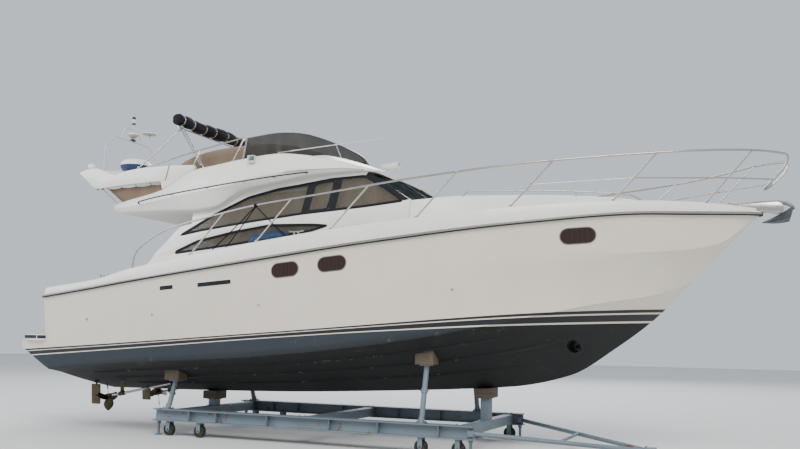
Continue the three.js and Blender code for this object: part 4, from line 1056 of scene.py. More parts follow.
def transom_gate():
    y0, y1 = GATE.y0 + 0.007, GATE.y1 - 0.008
    panel = box((0.014, y0, 2.012), (0.054, y1, GATE.top), 0.012, 3)
    inset = box((0.0085, y0 + 0.09, 2.10), (0.0145, y1 - 0.09, GATE.top - 0.1), 0.003)
    hinges = []
    for z in (2.13, 2.44):
        hinges += [rod(at(0.014, y0, z - 0.05), at(0.014, y0, z + 0.05), 0.0066),
                   box((0.054, y0 + 0.004, z - 0.035), (0.0585, y0 + 0.075, z + 0.035), 0.003)]
    pin = rod(at(0.014, y0, 2.05), at(0.014, y0, 2.54), 0.005)
    handle = [at(x, y1 - 0.075, z) for x, z in ((0.055, 2.44), (0.085, 2.43), (0.09, 2.39))]
    latch = [box((0.0535, y1 - 0.09, 2.40), (0.058, y1 - 0.02, 2.47), 0.003), tube(through(handle, 4), 0.006)]
    piece("gate_panel", [([panel, inset], GELCOAT), ([pin, *hinges, *latch], STEEL)],
          body="gate", replaces="transom_gate")


# Flybridge moulding, deckhouse and glazing
FLY = table("x lowY low wideY wide topY top inner mid", [
    (1.30, 1.560, 3.935, 1.610, 4.000, 1.590, 4.072, 4.030, 4.035),
    (1.60, 1.640, 3.900, 1.700, 4.010, 1.620, 4.130, 4.039, 4.045),
    (2.35, 1.660, 3.890, 1.740, 4.060, 1.620, 4.280, 4.062, 4.070),
    (3.05, 1.650, 3.880, 1.750, 4.110, 1.620, 4.600, 4.083, 4.090),
    (3.50, 1.640, 3.905, 1.750, 4.170, 1.615, 4.660, 4.096, 4.104),
    (4.05, 1.620, 4.170, 1.730, 4.300, 1.600, 4.730, 4.113, 4.120),
    (4.70, 1.590, 4.275, 1.690, 4.400, 1.570, 4.782, 4.132, 4.140),
    (5.25, 1.560, 4.355, 1.640, 4.450, 1.530, 4.725, 4.149, 4.157),
    (5.30, 1.555, 4.360, 1.635, 4.450, 1.525, 4.715, 4.730, 4.880),
    (5.84, 1.510, 4.390, 1.560, 4.450, 1.455, 4.600, 4.615, 4.740),
    (6.19, 1.475, 4.400, 1.500, 4.430, 1.400, 4.500, 4.512, 4.600),
    (6.50, 1.440, 4.370, 1.450, 4.385, 1.370, 4.425, 4.432, 4.490),
])
TOP = lines_through(FLY)
BROW = 5.30
STAIRWELL = Sizes(x0=1.55, x1=2.20, y0=0.80, y1=1.40)
UPPER_WINDOW = [
    (2.80, 3.45), (3.22, 3.52), (4.22, 3.64), (5.18, 3.735), (6.33, 3.81), (6.98, 3.87), (6.90, 3.945),
    (6.64, 4.12), (6.29, 4.33), (5.69, 4.31), (5.13, 4.24), (4.68, 4.19), (4.12, 4.075), (3.44, 3.79),
]
LOWER_WINDOW = [
    (2.76, 3.17), (2.76, 3.13), (4.00, 3.26), (5.40, 3.44), (5.69, 3.52), (5.41, 3.55), (4.61, 3.57),
    (3.91, 3.48), (3.18, 3.34),
]
PILLAR = [(6.298, 4.338), (6.648, 4.126), (6.908, 3.950), (6.988, 3.876), (7.092, 3.893), (6.352, 4.392)]
WING = [(3.01, 3.65), (2.77, 3.59), (2.53, 3.35), (2.33, 3.16), (2.15, 2.94), (1.70, 2.80), (1.40, 2.70)]
DOORWAY = Sizes(y0=-1.30, y1=0.70, z0=2.15, z1=3.78)
WALL = 0.06


def side_y(x, z):
    """The outside of the deckhouse: it leans in upwards and closes in forwards."""
    return 1.62 - 0.13 * (z - 3.2) - 0.02 * (x - 3.0)


def floor_z(x):
    return 4.03 + 0.03 * (x - 1.3)


def fly_section(x):
    line = values(TOP, x)
    floor = floor_z(x) if x <= BROW else line.low + 0.06
    ceiling = min(line.low, floor - 0.06)
    top = line.topY
    outside = rounded([(1.33, line.low), (line.lowY, line.low), (line.wideY, line.wide),
                       (top, line.top), (top - 0.09, line.top), (top - 0.14, line.inner)], 0.03, 3)
    crown = [(top * k, line.inner + (line.mid - line.inner) * (1 - k * k)) for k in (0.75, 0.5, 0.25)]
    return [(0, ceiling), (1.32, ceiling), *outside, *crown, (0, line.mid)]


def flybridge():
    rows = [row.x for row in FLY]
    xs = stations(1.30, 6.50, 0.075, *rows)
    skin = loft([across_boat(x, fly_section(x)) for x in xs])
    well = STAIRWELL
    hole = box((well.x0, well.y0, 3), (well.x1, well.y1, ABOVE))
    piece("flybridge_moulding", (carve(skin, [hole]), GELCOAT), replaces="flybridge", smooth=28)
    pads = [loft([[at(x, y, floor_z(x) + h) for y, h in ((y0, 0.012), (y1, 0.012), (y1, 0.019), (y0, 0.019))]
                  for x in (x0, x1)])
            for x0, x1, y0, y1 in ((1.45, 2.26, -1.40, 0.72), (1.45, 1.53, 0.72, 1.40))]
    piece("fly_floor_pads", (pads, NON_SLIP))
    # A thin black line along the moulding's widest edge, from x 4.9 to 6.3: a painted shadow line under the
    # edge.
    seam = [tube([at(x, sign * TOP.wideY(x), TOP.wide(x) - 0.004) for x in stations(4.9, 6.3, 0.1)], 0.003, 8)
            for sign in BOTH]
    piece("fly_moulding_shadow_lines", (seam, FRIT))


def leaned(bm):
    """Moves a shape built against y = 0 out to the deckhouse's side."""
    for vert in bm.verts:
        x, z = vert.co.x - STERN, vert.co.z
        vert.co.y += side_y(x, z)
    return bm


def grown(points, by):
    """An (x, z) outline moved outwards, or inwards where by is below 0."""
    out = []
    count = len(points)
    area = sum(points[i - 1][0] * points[i][1] - points[i][0] * points[i - 1][1] for i in range(count))
    way = math.copysign(1, area)
    for i in range(count):
        a, b, c = Vector(points[i - 1]), Vector(points[i]), Vector(points[(i + 1) % count])
        along = (c - b).normalized() + (b - a).normalized()
        normal = Vector((along.y, -along.x)).normalized() * way
        out.append(tuple(b + normal * by))
    return out


def house_side(outline, sign):
    """One side of the deckhouse with its two window openings."""
    wall = slab([at(x, 0, z) for x, z in outline], (0, -WALL, 0))
    tools = [slab([at(x, 0.3, z) for x, z in rounded_outline(window)], (0, -0.6, 0))
             for window in (UPPER_WINDOW, LOWER_WINDOW)]
    return on_side(soften(leaned(carve(wall, tools)), 0.008, 2, 50), sign)


def saloon_bulkhead():
    """The wall across the boat with the doorway in it."""
    over, sole = deck_z(3.08) + 0.005, COCKPIT.sole + GAP
    head = TOP.low(3.05) - GAP
    reach = [side_y(3.02, z) - WALL + 0.01 for z in (over, head)]
    half = [(COCKPIT.y - GAP, sole), (COCKPIT.y - GAP, over), (reach[0], over), (reach[1], head)]
    ring = [*half, *[(-y, z) for y, z in reversed(half)]]
    door = DOORWAY
    opening = box((3.0, door.y0, door.z0), (3.1, door.y1, door.z1))
    return carve(slab([at(3.02, y, z) for y, z in ring], (0.06, 0, 0)), [opening])


def deckhouse():
    low = [(x, deck_z(x) + GAP) for x in stations(1.4, 7.1, 0.4)]
    front = [(7.10, 3.89), (6.33, TOP.low(6.33) - GAP)]
    top = [(x, TOP.low(x) - GAP) for x in reversed(stations(3.05, 6.25, 0.2))]
    outline = [*low, *front, *top, (3.01, TOP.low(3.01) - GAP), *through_flat(WING, 5)[:-1]]
    walls = [house_side(outline, sign) for sign in BOTH]
    piece("deckhouse_walls", ([*walls, saloon_bulkhead()], GELCOAT), replaces="deckhouse",
          smooth=30)
    door = DOORWAY
    edge = frame_edge(3.0145, door.y0 - 0.035, door.y1 + 0.035, door.z0 - 0.02, door.z1 + 0.035)
    piece("doorway_trim", (soften(border(edge, 0.037, (0.0055, 0, 0)), 0.002), ALLOY))


def frame_edge(x, y0, y1, z0, z1):
    """The corners of a frame across the boat."""
    return [at(x, y, z) for y, z in ((y0, z0), (y1, z0), (y1, z1), (y0, z1))]


def door_panel(name, node, body, x, y0, y1, handle):
    z0, z1 = DOORWAY.z0 + GAP, DOORWAY.z1 - 0.006
    rim = soften(border(frame_edge(x, y0, y1, z0, z1), 0.055, (0.02, 0, 0)), 0.003)
    pane = box((x + 0.006, y0 + 0.05, z0 + 0.05), (x + 0.014, y1 - 0.05, z1 - 0.05))
    grip = tube([at(x - out, handle, z) for out, z in ((0.001, 2.95), (0.005, 2.96), (0.005, 3.14),
                                                       (0.001, 3.15))], 0.0035)
    piece(name, [(rim, ALLOY), (pane, TINTED), (grip, STEEL)], body=body, replaces=node)


def saloon_doors():
    middle = (DOORWAY.y0 + DOORWAY.y1) / 2
    door_panel("door_fixed", "saloon_door_fixed", BOAT, 3.025, DOORWAY.y0 + GAP, middle + 0.03, -1.27)
    door_panel("door_sliding", "saloon_door_sliding", "sliding_door", 3.055, middle - 0.03,
               DOORWAY.y1 - 0.006, DOORWAY.y1 - 0.034)


def sheet(outline, y, thickness):
    """An (x, z) outline on the deckhouse's side, y out from it and going inwards."""
    return slab([at(x, y, z) for x, z in outline], (0, -thickness, 0))


def band(outline, y, width, thickness):
    return border([at(x, y, z) for x, z in outline], width, (0, -thickness, 0))


def window_posts():
    """The upper window's two posts, the frame of its opening part and the pillar before it."""
    posts = []
    lean = 0.10
    for x0, x1 in ((5.16, 5.26), (5.67, 5.78)):
        low, high = upper_edges((x0 + x1) / 2)
        posts.append(sheet([(x0, low), (x1, low), (x1 + lean, high), (x0 + lean, high)], -0.0055, 0.016))
    opening = [(5.268, 0.02), (5.662, 0.02), (5.762, -0.02), (5.368, -0.02)]
    corners = [(x, upper_edges(x)[0 if lift > 0 else 1] + lift) for x, lift in opening]
    posts.append(band(rounded_outline(corners, 0.07), -0.004, 0.030, 0.014))
    return gather(*posts, sheet(PILLAR, SKIN * 1.2, 0.006))


def side_windows():
    windows = {"upper": UPPER_WINDOW, "lower": LOWER_WINDOW}
    for side, sign in SIDES.items():
        for level, shape in windows.items():
            outline = rounded_outline(shape)
            rim = soften(band(grown(outline, -0.001), -0.0035, 0.028, 0.018), 0.002, 2, 60)
            parts = [(sheet(grown(outline, -0.0008), -0.008, 0.012), TINTED), (rim, FRIT),
                     (band(grown(outline, 0.016), SKIN, 0.020, 0.004), FRIT)]
            if level == "upper":
                parts.append((window_posts(), FRIT))
            piece(f"window_{level}_glazing_{side}",
                  [(on_side(leaned(bm), sign), look) for bm, look in parts],
                  replaces=f"window_{level}_{side}", smooth=25)
        blinds = gather(*[sheet(grown(rounded_outline(shape), 0.015), -0.072, 0.004)
                          for shape in windows.values()])
        piece(f"window_blinds_{side}", (on_side(leaned(blinds), sign), BLINDS))


def upper_edges(x):
    """The heights of the upper window's lower and upper edge at x."""
    low = table("x z", UPPER_WINDOW[:6])
    high = table("x z", [UPPER_WINDOW[0], *reversed(UPPER_WINDOW[7:])])
    return line_through(low, "z")(x), line_through(high, "z")(x)


# Windscreens
SCREEN = Sizes(top=1.332, base=1.380, topX=6.250, topBow=0.200, baseX=7.050, baseBow=0.300,
               z0=3.850, z1=4.440, thick=0.014)
FLY_SCREEN = table("x y topX topY topZ", [
    (4.010, 1.555, 4.010, 1.440, 5.130),
    (4.650, 1.530, 4.600, 1.410, 5.180),
    (5.200, 1.490, 4.960, 1.240, 5.185),
    (5.430, 1.250, 5.130, 0.920, 5.170),
    (5.600, 0.850, 5.225, 0.480, 5.155),
    (5.670, 0.430, 5.260, 0.220, 5.145),
    (5.685, 0.000, 5.268, 0.000, 5.142),
])

SCREEN_BASE, SCREEN_FOOT = 4.70, 4.62  # heights from which the flybridge's screen is drawn


def screen_point(u, v, out=0.0):
    """A point of the saloon's windscreen: u from -1 to 1 at port, v from 0 at its base to 1."""
    bow = 1 - abs(u) ** 2.2
    x = SCREEN.baseX + SCREEN.baseBow * bow
    x += (SCREEN.topX + SCREEN.topBow * bow - x) * v
    y = (SCREEN.base * (1 - v) + SCREEN.top * v) * u
    z = SCREEN.z0 * (1 - v) + SCREEN.z1 * v
    return at(x + 0.5 * out, y, z + 0.85 * out)


def screen_patch(u0, u1, v0, v1, front, back, columns):
    edges = ((v0, front), (v1, front), (v1, back), (v0, back))
    return loft([[screen_point(u0 + (u1 - u0) * i / columns, v, out) for v, out in edges]
                 for i in range(columns + 1)])


def windshield():
    pane = screen_patch(-1, 1, 0.02, 0.99, 0, -SCREEN.thick, 40)
    bands = [screen_patch(-0.995, 0.995, v0, v1, SKIN, -0.001, 40)
             for v0, v1 in ((0.02, 0.13), (0.90, 0.985))]
    for u0, u1 in ((-0.995, -0.93), (-0.345, -0.315), (0.315, 0.345), (0.93, 0.995)):
        bands.append(screen_patch(u0, u1, 0.02, 0.985, SKIN * 1.4, -0.001, 4))
    piece("windscreen_glazing", [(pane, CLEAR_GLASS), (bands, FRIT)],
          replaces="windshield", smooth=25)
    wipers = []
    for u in (-0.62, 0.0, 0.62):
        pivot = screen_point(u, 0.07, 0.004)
        head = screen_point(u + 0.16, 0.62, 0.022)
        wipers.append(rod(pivot - up(0.002), pivot + Vector((0.010, 0, 0.030)), 0.018))
        wipers.append(tube(through([pivot + Vector((0.008, 0, 0.026)),
                                    (pivot + head) / 2 + Vector((0.018, 0, 0.022)), head], 5), 0.006))
        low, high = screen_point(u + 0.06, 0.28, 0.010), screen_point(u + 0.26, 0.88, 0.010)
        wipers.append(tube([low, (low + high) / 2 + Vector((0.006, 0, 0.006)), high], 0.007))
    piece("wipers", (wipers, BLACK_PLASTIC))


def fly_screen_line():
    """Both edges of the flybridge's screen as smooth lines, from starboard round to port."""
    port = [tuple(vars(row).values()) for row in FLY_SCREEN]
    starboard = [(x, -y, tx, -ty, tz) for x, y, tx, ty, tz in port[:-1]]
    rows = [*starboard, *reversed(port)]
    base = through([(*row[:2], 0) for row in rows], 6)
    top = through([at(*row[2:]) for row in rows], 6)
    foot = []
    for low, high in zip(base, top):
        share = 0.48 / (high.z - SCREEN_BASE)
        x = (high.x - STERN) + (low.x - (high.x - STERN)) * share
        y = high.y + (low.y - high.y) * share
        surface = coaming_z(x, abs(y)) + 0.001
        rise = (surface - SCREEN_FOOT) / (high.z - SCREEN_FOOT)
        start = at(x, y, SCREEN_FOOT)
        foot.append(start + (high - start) * max(0.0, rise))
    return foot, top


def coaming_z(x, y):
    """The height of the flybridge moulding's top at a place near its edge."""
    top, edge = TOP.top(x), TOP.topY(x)
    if x <= BROW or y >= edge - 0.09:
        return top
    share = min(1, y / (edge - 0.14))
    return TOP.inner(x) + (TOP.mid(x) - TOP.inner(x)) * (1 - share * share)


def shell_between(low, high, thickness):
    """A thin curved sheet between two lines."""
    rings = []
    for a, b, ahead in zip(low, high, headings(low)):
        inward = beside(ahead) * thickness
        steps = [a + (b - a) * k / 4 for k in range(5)]
        rings.append([*steps, *[p - inward for p in reversed(steps)]])
    return loft(rings)


def fly_windscreen():
    foot, top = fly_screen_line()
    pane = shell_between(foot, top, -0.006)
    parts = [tube(top, 0.009, 8)]
    rims = tube([p + up(0.006) for p in foot], 0.009, 8)
    section = ((-0.017, -0.004), (0.017, -0.004), (0.017, 0.009), (-0.017, 0.009))
    for share in (0.0, 0.333, 0.667, 1.0):
        i = round(share * (len(foot) - 1))
        ahead = headings(foot)[i]
        side, inward = Vector((ahead.x, ahead.y, 0)).normalized(), beside(ahead)
        parts.append(loft([[p + side * s + inward * d for s, d in section] for p in (foot[i], top[i])]))
    piece("fly_screen_acrylic", [(pane, SMOKED), (parts, STEEL), (rims, FRIT)],
          replaces="fly_windscreen", smooth=40)


# Radar arch and what it carries
ARCH = Sizes(y0=1.530, y1=1.618, beamY=1.560)
BEAM = table("x rise", [(-1.56, 0.0), (-0.77, 0.15), (0.0, 0.19), (0.77, 0.15), (1.56, 0.0)])
BEAM_RISE = line_through(BEAM, "rise")
BLADE = [(0.40, 4.712), (0.618, 4.547), (0.749, 4.432), (0.868, 4.378), (1.02, 4.392), (1.504, 4.420),
         (2.095, 4.440), (2.33, 4.440)]
BLADE_TOP = [(3.04, 4.690), (2.51, 4.716), (1.85, 4.712), (1.52, 4.680), (1.257, 4.616), (1.012, 4.712),
             (0.864, 4.768), (0.767, 4.780), (0.527, 4.756)]
CHORD = [(0.17, 4.705), (0.24, 4.745), (0.45, 4.75), (0.80, 4.72), (0.96, 4.64), (0.90, 4.56), (0.66, 4.52),
         (0.36, 4.61)]
RADAR = Sizes(x=0.33, r=0.303, z0=5.03, z1=5.30)
MAST_X = 0.215


def smooth_outline(points, steps):
    """A closed smooth outline of (x, z) points."""
    line = through_flat([*points[-2:], *points, *points[:2]], steps)
    return line[2 * steps:(2 + len(points)) * steps]


def radar_arch():
    chord = smooth_outline(CHORD, 3)
    ys = stations(-ARCH.beamY, ARCH.beamY, 0.12)
    beam = loft([[at(swept(x, y), y, z + BEAM_RISE(y)) for x, z in chord] for y in ys])
    seat = [(x, TOP.top(x) + 0.0006) for x in stations(2.36, 3.04, 0.1)]
    outline = rounded_outline([*BLADE, *seat, *BLADE_TOP], 0.045)
    blades, stays, caps = [], [], []
    for sign in BOTH:
        blades.append(on_side(edged(outline, ARCH.y0, ARCH.y1, 0.014), sign))
        for shift in (0, 0.11):
            foot = at(1.345 + shift, sign * 1.56, coaming_z(1.345 + shift, 1.56) + GAP)
            stays.append(rod(at(0.86 + shift, sign * 1.575, 4.46), foot, 0.014))
            stays.append(rod(foot, foot + up(0.008), 0.026))
        for x in (0.86, 0.97):
            caps.append(rod(at(x, sign * 1.575, 4.372), at(x, sign * 1.575, 4.42), 0.024))
    piece("arch_moulding", [([beam, *blades], GELCOAT), (stays, STEEL), (caps, FRIT)],
          replaces="radar_arch", smooth=35)


def swept(x, y):
    """The beam is widest on the middle line, and its after edge comes forward to the blades."""
    return 0.98 - (0.98 - x) * (1 - 0.32 * (abs(y) / ARCH.beamY) ** 2)


def edged(outline, y0, y1, soft):
    """A plate in the boat's side plane with rounded edges."""
    steps = ((y0, soft), (y0 + 0.3 * soft, 0.3 * soft), (y0 + soft, 0), (y1 - soft, 0),
             (y1 - 0.3 * soft, 0.3 * soft), (y1, soft))
    return loft([[at(x, y, z) for x, z in grown(outline, -by)] for y, by in steps])


def weather_cloths():
    """Canvas laced between each arch blade and the coaming under it."""
    for side, sign in SIDES.items():
        def place(u, v):
            top = 1.03 + 1.36 * u
            foot = 1.42 + 1.02 * u
            x = top * v + foot * (1 - v)
            low, high = coaming_z(foot, 1.5) + 0.012, 4.388 + 0.020 * u
            z = low + (high - low) * v - 0.012 * math.sin(math.pi * 4 * u) ** 2 * v
            belly = 0.020 * math.sin(math.pi * u) * math.sin(math.pi * v)
            crease = 0.010 * noise.noise(Vector((x * 6, z * 5, sign)))
            return at(x, sign * (1.535 - 0.02 * v - belly - crease), z)

        # An open sheet has no outside, so the second turn settles which way it faces.
        bm = outward(field(60, 14, place))
        cloth = piece(f"weather_cloth_{side}", (bm, BROWN_CANVAS), smooth=60)
        laces = []
        for share in (0.0, 0.25, 0.5, 0.75, 1.0):
            hole = place(share, 1.0)
            laces.append(rod(hole - up(0.012), Vector((hole.x, sign * 1.56, 4.435)), 0.006))
        strap = [(2.50, 1.6225, 4.700), (2.47, 1.6225, 4.56), (2.435, 1.6225, 4.452), (2.42, 1.60, 4.434),
                 (2.42, 1.55, 4.434), (2.43, 1.526, 4.46), (2.47, 1.526, 4.56), (2.50, 1.526, 4.70),
                 (2.505, 1.55, 4.720), (2.505, 1.60, 4.720)]
        laces.append(tube([at(x, sign * y, z) for x, y, z in strap], 0.007, 8, ring=True))
        ties = piece(f"weather_cloth_laces_{side}", (laces, DARK_ROPE), smooth=50)


def radar_dome():
    low, high = RADAR.z0, RADAR.z1
    half = high - low
    waist = 0.47
    bottom = [(0, 0), (0.17, 0), (0.25, 0.12 * half), (0.292, 0.34 * half), (0.301, waist * half)]
    top = [(0.301, waist * half), (RADAR.r, waist * half + 0.004), (0.302, 0.60 * half), (0.28, 0.80 * half),
           (0.20, 0.95 * half), (0.09, half), (0, half)]
    lower = through_flat(bottom, 4)
    upper = [(max(0, r), z) for r, z in through_flat(top, 4)]
    foot = at(RADAR.x, 0, low)
    pedestal = knob([(0.115, -0.11), (0.11, -0.095), (0.075, -0.07), (0.068, -0.02), (0.09, 0.004)], foot)
    seam = turned([(0.2985, waist * half - 0.004), (0.3035, waist * half - 0.003),
                   (0.3035, waist * half + 0.003), (0.2985, waist * half + 0.004)], foot)
    piece("radar_casing",
          [(turned(upper, foot, steps=48), RADAR_WHITE), (turned(lower, foot, steps=48), RADAR_BLUE),
           (pedestal, WHITE_PAINT), (seam, FRIT)],
          replaces="radar_dome", smooth=40)


def mast():
    x = MAST_X
    corner = [(0.77, beam_z(0.77) - 0.01), (0.77, 5.445), (0.52, 5.690)]
    hoop = rounded([*corner, *[(-y, z) for y, z in reversed(corner)]], 0.07, 5)
    small = rounded([(-0.35, 5.690), (-0.24, 5.945), (0.12, 5.945), (0.31, 5.690)], 0.08, 5)
    frames = [tube([at(x, p.x, p.y) for p in line], 0.016) for line in (hoop, small)]
    feet = [knob([(0.045, 0), (0.045, 0.008), (0.022, 0.014), (0.018, 0.03)],
                 at(x, sign * 0.77, beam_z(0.77) - 0.004)) for sign in BOTH]
    posts = [rod(at(x, 0, 5.945), at(x, 0, 6.07), 0.011), rod(at(x, 0, 5.69), at(x, 0, 5.79), 0.013),
             rod(at(x, 0.50, 5.690), at(x, 0.50, 5.90), 0.011),
             rod(at(x, 0.50, 5.88), at(x, 0.50, 5.955), 0.024)]
    # The undersides of the dish and the disc, bowl and under, take a greyer copy of their white: painted
    # shade.
    dish = turned([(0, 0.002), (0.103, 0.004), (0.098, 0.026), (0.05, 0.046), (0, 0.052)], at(x, 0, 5.832))
    bowl = turned([(0, -0.062), (0.05, -0.056), (0.09, -0.028), (0.102, 0.003), (0, 0.003)], at(x, 0, 5.832))
    disc = turned([(0, 0.003), (0.155, 0.004), (0.145, 0.018), (0.06, 0.034), (0, 0.036)], at(x, 0.50, 5.960),
                  steps=40)
    under = turned([(0, -0.020), (0.06, -0.018), (0.13, -0.006), (0.154, 0.0035), (0, 0.0035)],
                   at(x, 0.50, 5.960), steps=40)
    bracket = plate(x, 0, 0.04, 0.05, 5.705, 5.745, 0.008)
    lens = knob([(0.036, 0), (0.038, 0.02), (0.036, 0.085)], at(x, 0, 6.085))
    caps = gather(knob([(0.042, 0), (0.042, 0.022), (0.030, 0.027)], at(x, 0, 6.058)),
                  turned([(0, 0), (0.042, 0), (0.040, 0.03), (0.02, 0.055), (0, 0.06)], at(x, 0, 6.170)))
    piece("mast_hoops",
          [([*frames, *feet, *posts], MAST_PAINT_IN_SHADE), ([dish, disc], RADAR_WHITE), ([bowl, under], UNDERSIDE_SHADE_PLASTIC),
           (lens, CLEAR_LENS), ([caps, bracket], BLACK_PLASTIC)],
          replaces="mast_frame", smooth=40)


def beam_z(y):
    """The top of the arch's beam under the mast."""
    return 4.733 + BEAM_RISE(y)


FLY_RAIL = [(1.93, 1.575, 4.712), (2.30, 1.562, 4.800), (3.07, 1.520, 4.970), (3.99, 1.500, 5.125)]
SIDE_RAIL = [(2.00, 1.752, 4.02), (2.06, 1.80, 4.06), (2.70, 1.812, 4.15), (4.17, 1.795, 4.295),
             (5.27, 1.708, 4.385), (5.33, 1.640, 4.385)]


def fly_rails():
    for side, sign in SIDES.items():
        points = through([at(x, sign * y, z) for x, y, z in FLY_RAIL], 10)
        bars = [tube(points, 0.0125)]
        for foot, head in (((2.95, 1.575), (3.07, 1.520, 4.970)), ((3.82, 1.568), (3.982, 1.501, 5.122))):
            x, y = foot
            low = at(x, sign * y, coaming_z(x, y) + 0.001)
            high = at(head[0], sign * head[1], head[2])
            lean = Vector((0.018, 0, 0))
            ring = [[p - lean, p + Vector((0, sign * 0.007, 0)), p + lean, p - Vector((0, sign * 0.007, 0))]
                    for p in (low, high)]
            bars.append(soften(loft(ring), 0.003))
            bars.append(knob([(0.034, 0), (0.034, 0.004), (0.028, 0.008)], low))
        start = at(1.93, sign * 1.575, 4.7145)
        bars.append(knob([(0.028, 0), (0.028, 0.004), (0.018, 0.009)], start - up(0.003)))
        piece(f"fly_handrail_{side}", (bars, STEEL), replaces=f"fly_rail_{side}")
        low_rail = through([at(x, sign * y, z) for x, y, z in SIDE_RAIL], 8)
        clips = [rod(at(x, sign * (TOP.wideY(x) - 0.03), z), at(x, sign * y, z), 0.008)
                 for x, y, z in ((2.70, 1.812, 4.15), (3.45, 1.806, 4.225), (4.17, 1.795, 4.295),
                                 (4.75, 1.755, 4.342))]
        piece(f"fly_side_rail_{side}", [(tube(low_rail, 0.0115), ALLOY), (clips, STEEL)])


# Bimini, its canvas roll, and the cover over the helm
BIMINI = Sizes(x=3.200, y=1.545, topX=2.200, topY=1.060, topZ=5.655, r=0.013)
BIMINI.z = TOP.top(BIMINI.x) + 0.0184
STAY = Sizes(x=2.245, y=1.068, z=5.560, footX=1.770, footY=1.575, footZ=4.713)
HOOPS = table("foot footX topX", [(0, 0, 0.07), (0.06, -0.036, 0)])
BUNDLE = Sizes(x=BIMINI.topX + 0.035, z=BIMINI.topZ + 0.052, y=1.15)


def bimini_hoop(hoop):
    b = BIMINI
    foot = Vector((b.x, b.y, b.z))
    toward = Vector((b.topX + 0.07, b.topY, b.topZ))
    low = foot + (toward - foot) * hoop.foot + Vector((hoop.footX, 0, 0))
    high = Vector((b.topX + hoop.topX, b.topY + 0.012, b.topZ))
    line = [low, high, *[Vector((p.x, -p.y, p.z)) for p in (high, low)]]
    return tube([at(*p) for p in rounded(line, 0.11, 6)], b.r)


def bimini_hoops():
    b = BIMINI
    hoops = [bimini_hoop(hoop) for hoop in HOOPS]
    fittings, feet = [], []
    for sign in BOTH:
        axle = at(b.x, sign * b.y, b.z)
        fittings.append(rod(axle - Vector((0, 0.016, 0)), axle + Vector((0, 0.016, 0)), 0.014))
        feet.append(block(axle + Vector((-0.03, -0.014, -0.0175)), axle + Vector((0.03, 0.014, -0.0155)),
                          0.0008))
        fittings.append(box((STAY.x - 0.015, sign * (STAY.y + GAP), STAY.z - 0.015),
                            (STAY.x + 0.09, sign * 1.115, STAY.z + 0.015), 0.006, 3))
        jaw = at(b.x - 0.075, sign * (b.y - 0.03), b.z + 0.061)
        fittings.append(block(jaw - Vector((0.025, 0.012, 0.009)), jaw + Vector((0.025, 0.012, 0.009)),
                              0.004))
    piece("bimini_hoops", ([*hoops, *fittings], STEEL),
          body="bimini", replaces="bimini_frame", smooth=40)
    piece("bimini_feet", (feet, STEEL))


def bimini_stays():
    s = STAY
    bars = [tube([at(s.x, -s.y + 0.002, s.z), at(s.x, s.y - 0.002, s.z)], 0.012)]
    for sign in BOTH:
        foot = at(s.footX, sign * s.footY, s.footZ)
        bars.append(tube([at(s.x, sign * (s.y - 0.068), s.z), foot], 0.012))
        bars.append(knob([(0.026, 0), (0.026, 0.005), (0.015, 0.012), (0.015, 0.04)], foot))
    piece("bimini_stay_tubes", (bars, STEEL), body="stays", replaces="bimini_stays", smooth=40)


TIES = [-1.02, -0.71, -0.33, -0.03, 0.36, 0.70, 1.03]


def roll_radius(y):
    """The bundle's radius along its length: full between the ties, nipped at them."""
    near = min(abs(y - tie) for tie in TIES)
    nip = (0.018 + 0.006 * math.sin(9.0 * y)) * math.exp(-(near / 0.06) ** 2)
    end = min(1, (BUNDLE.y - abs(y)) / 0.05)
    return (0.112 + 0.006 * math.sin(4.1 * y + 1) - nip) * (0.72 + 0.28 * math.sqrt(max(0, end)))


def roll_middle(y):
    """The bundle wanders a little along the hoops."""
    return at(BUNDLE.x + 0.008 * math.sin(5.3 * y), y, BUNDLE.z + 0.010 * math.sin(3.7 * y + 0.6))


def canvas_roll():
    """The hood rolled up on the hoops: soft folds run along it between the ties."""
    def place(u, v):
        y = BUNDLE.y * (2 * u - 1)
        angle = 2 * math.pi * v
        sag = noise.noise(Vector((2.6 * y, 1.7 * math.cos(angle), 1.7 * math.sin(angle))))
        folds = noise.noise(Vector((1.1 * y, 6 * math.cos(angle), 6 * math.sin(angle) + 3)))
        lap = 0.006 * max(0.0, math.cos(angle - 0.8 - 0.2 * math.sin(2 * y))) ** 8
        r = roll_radius(y) + 0.014 * sag + 0.013 * folds + lap
        return roll_middle(y) + Vector((r * math.cos(angle), 0, r * math.sin(angle)))

    bm = welded(field(150, 56, place), 1e-5, fill=True)
    cover = piece("bimini_canvas_roll", (bm, BLACK_CANVAS), body="bimini",
                  replaces="bimini_canvas", smooth=60)
    straps = []
    for y in TIES:
        middle, r = roll_middle(y), roll_radius(y) + 0.006
        side = Vector((0, 0.0125, 0))
        rings = []
        for a in angles(28):
            point = middle + Vector((r * math.cos(a), 0, r * math.sin(a)))
            out = (point - middle).normalized() * 0.0016
            rings.append([point - side - out, point + side - out, point + side + out, point - side + out])
        straps.append(loft([*rings, rings[0]]))
        buckle = middle + Vector((roll_radius(y) + 0.009, 0, 0.012))
        straps.append(block(buckle - Vector((0.003, 0.016, 0.012)), buckle + Vector((0.003, 0.016, 0.012)),
                            0.002))
    piece("canvas_ties", (straps, WEBBING), body="bimini", smooth=50)


COVER = table("x floorY topY top", [
    (2.29, 1.29, 1.24, 4.73), (2.70, 1.30, 1.25, 4.95), (3.30, 1.30, 1.24, 5.06), (4.00, 1.30, 1.22, 5.09),
    (4.60, 1.29, 1.18, 5.04), (5.18, 1.25, 1.05, 4.87),
])
SEATED = lines_through(COVER)


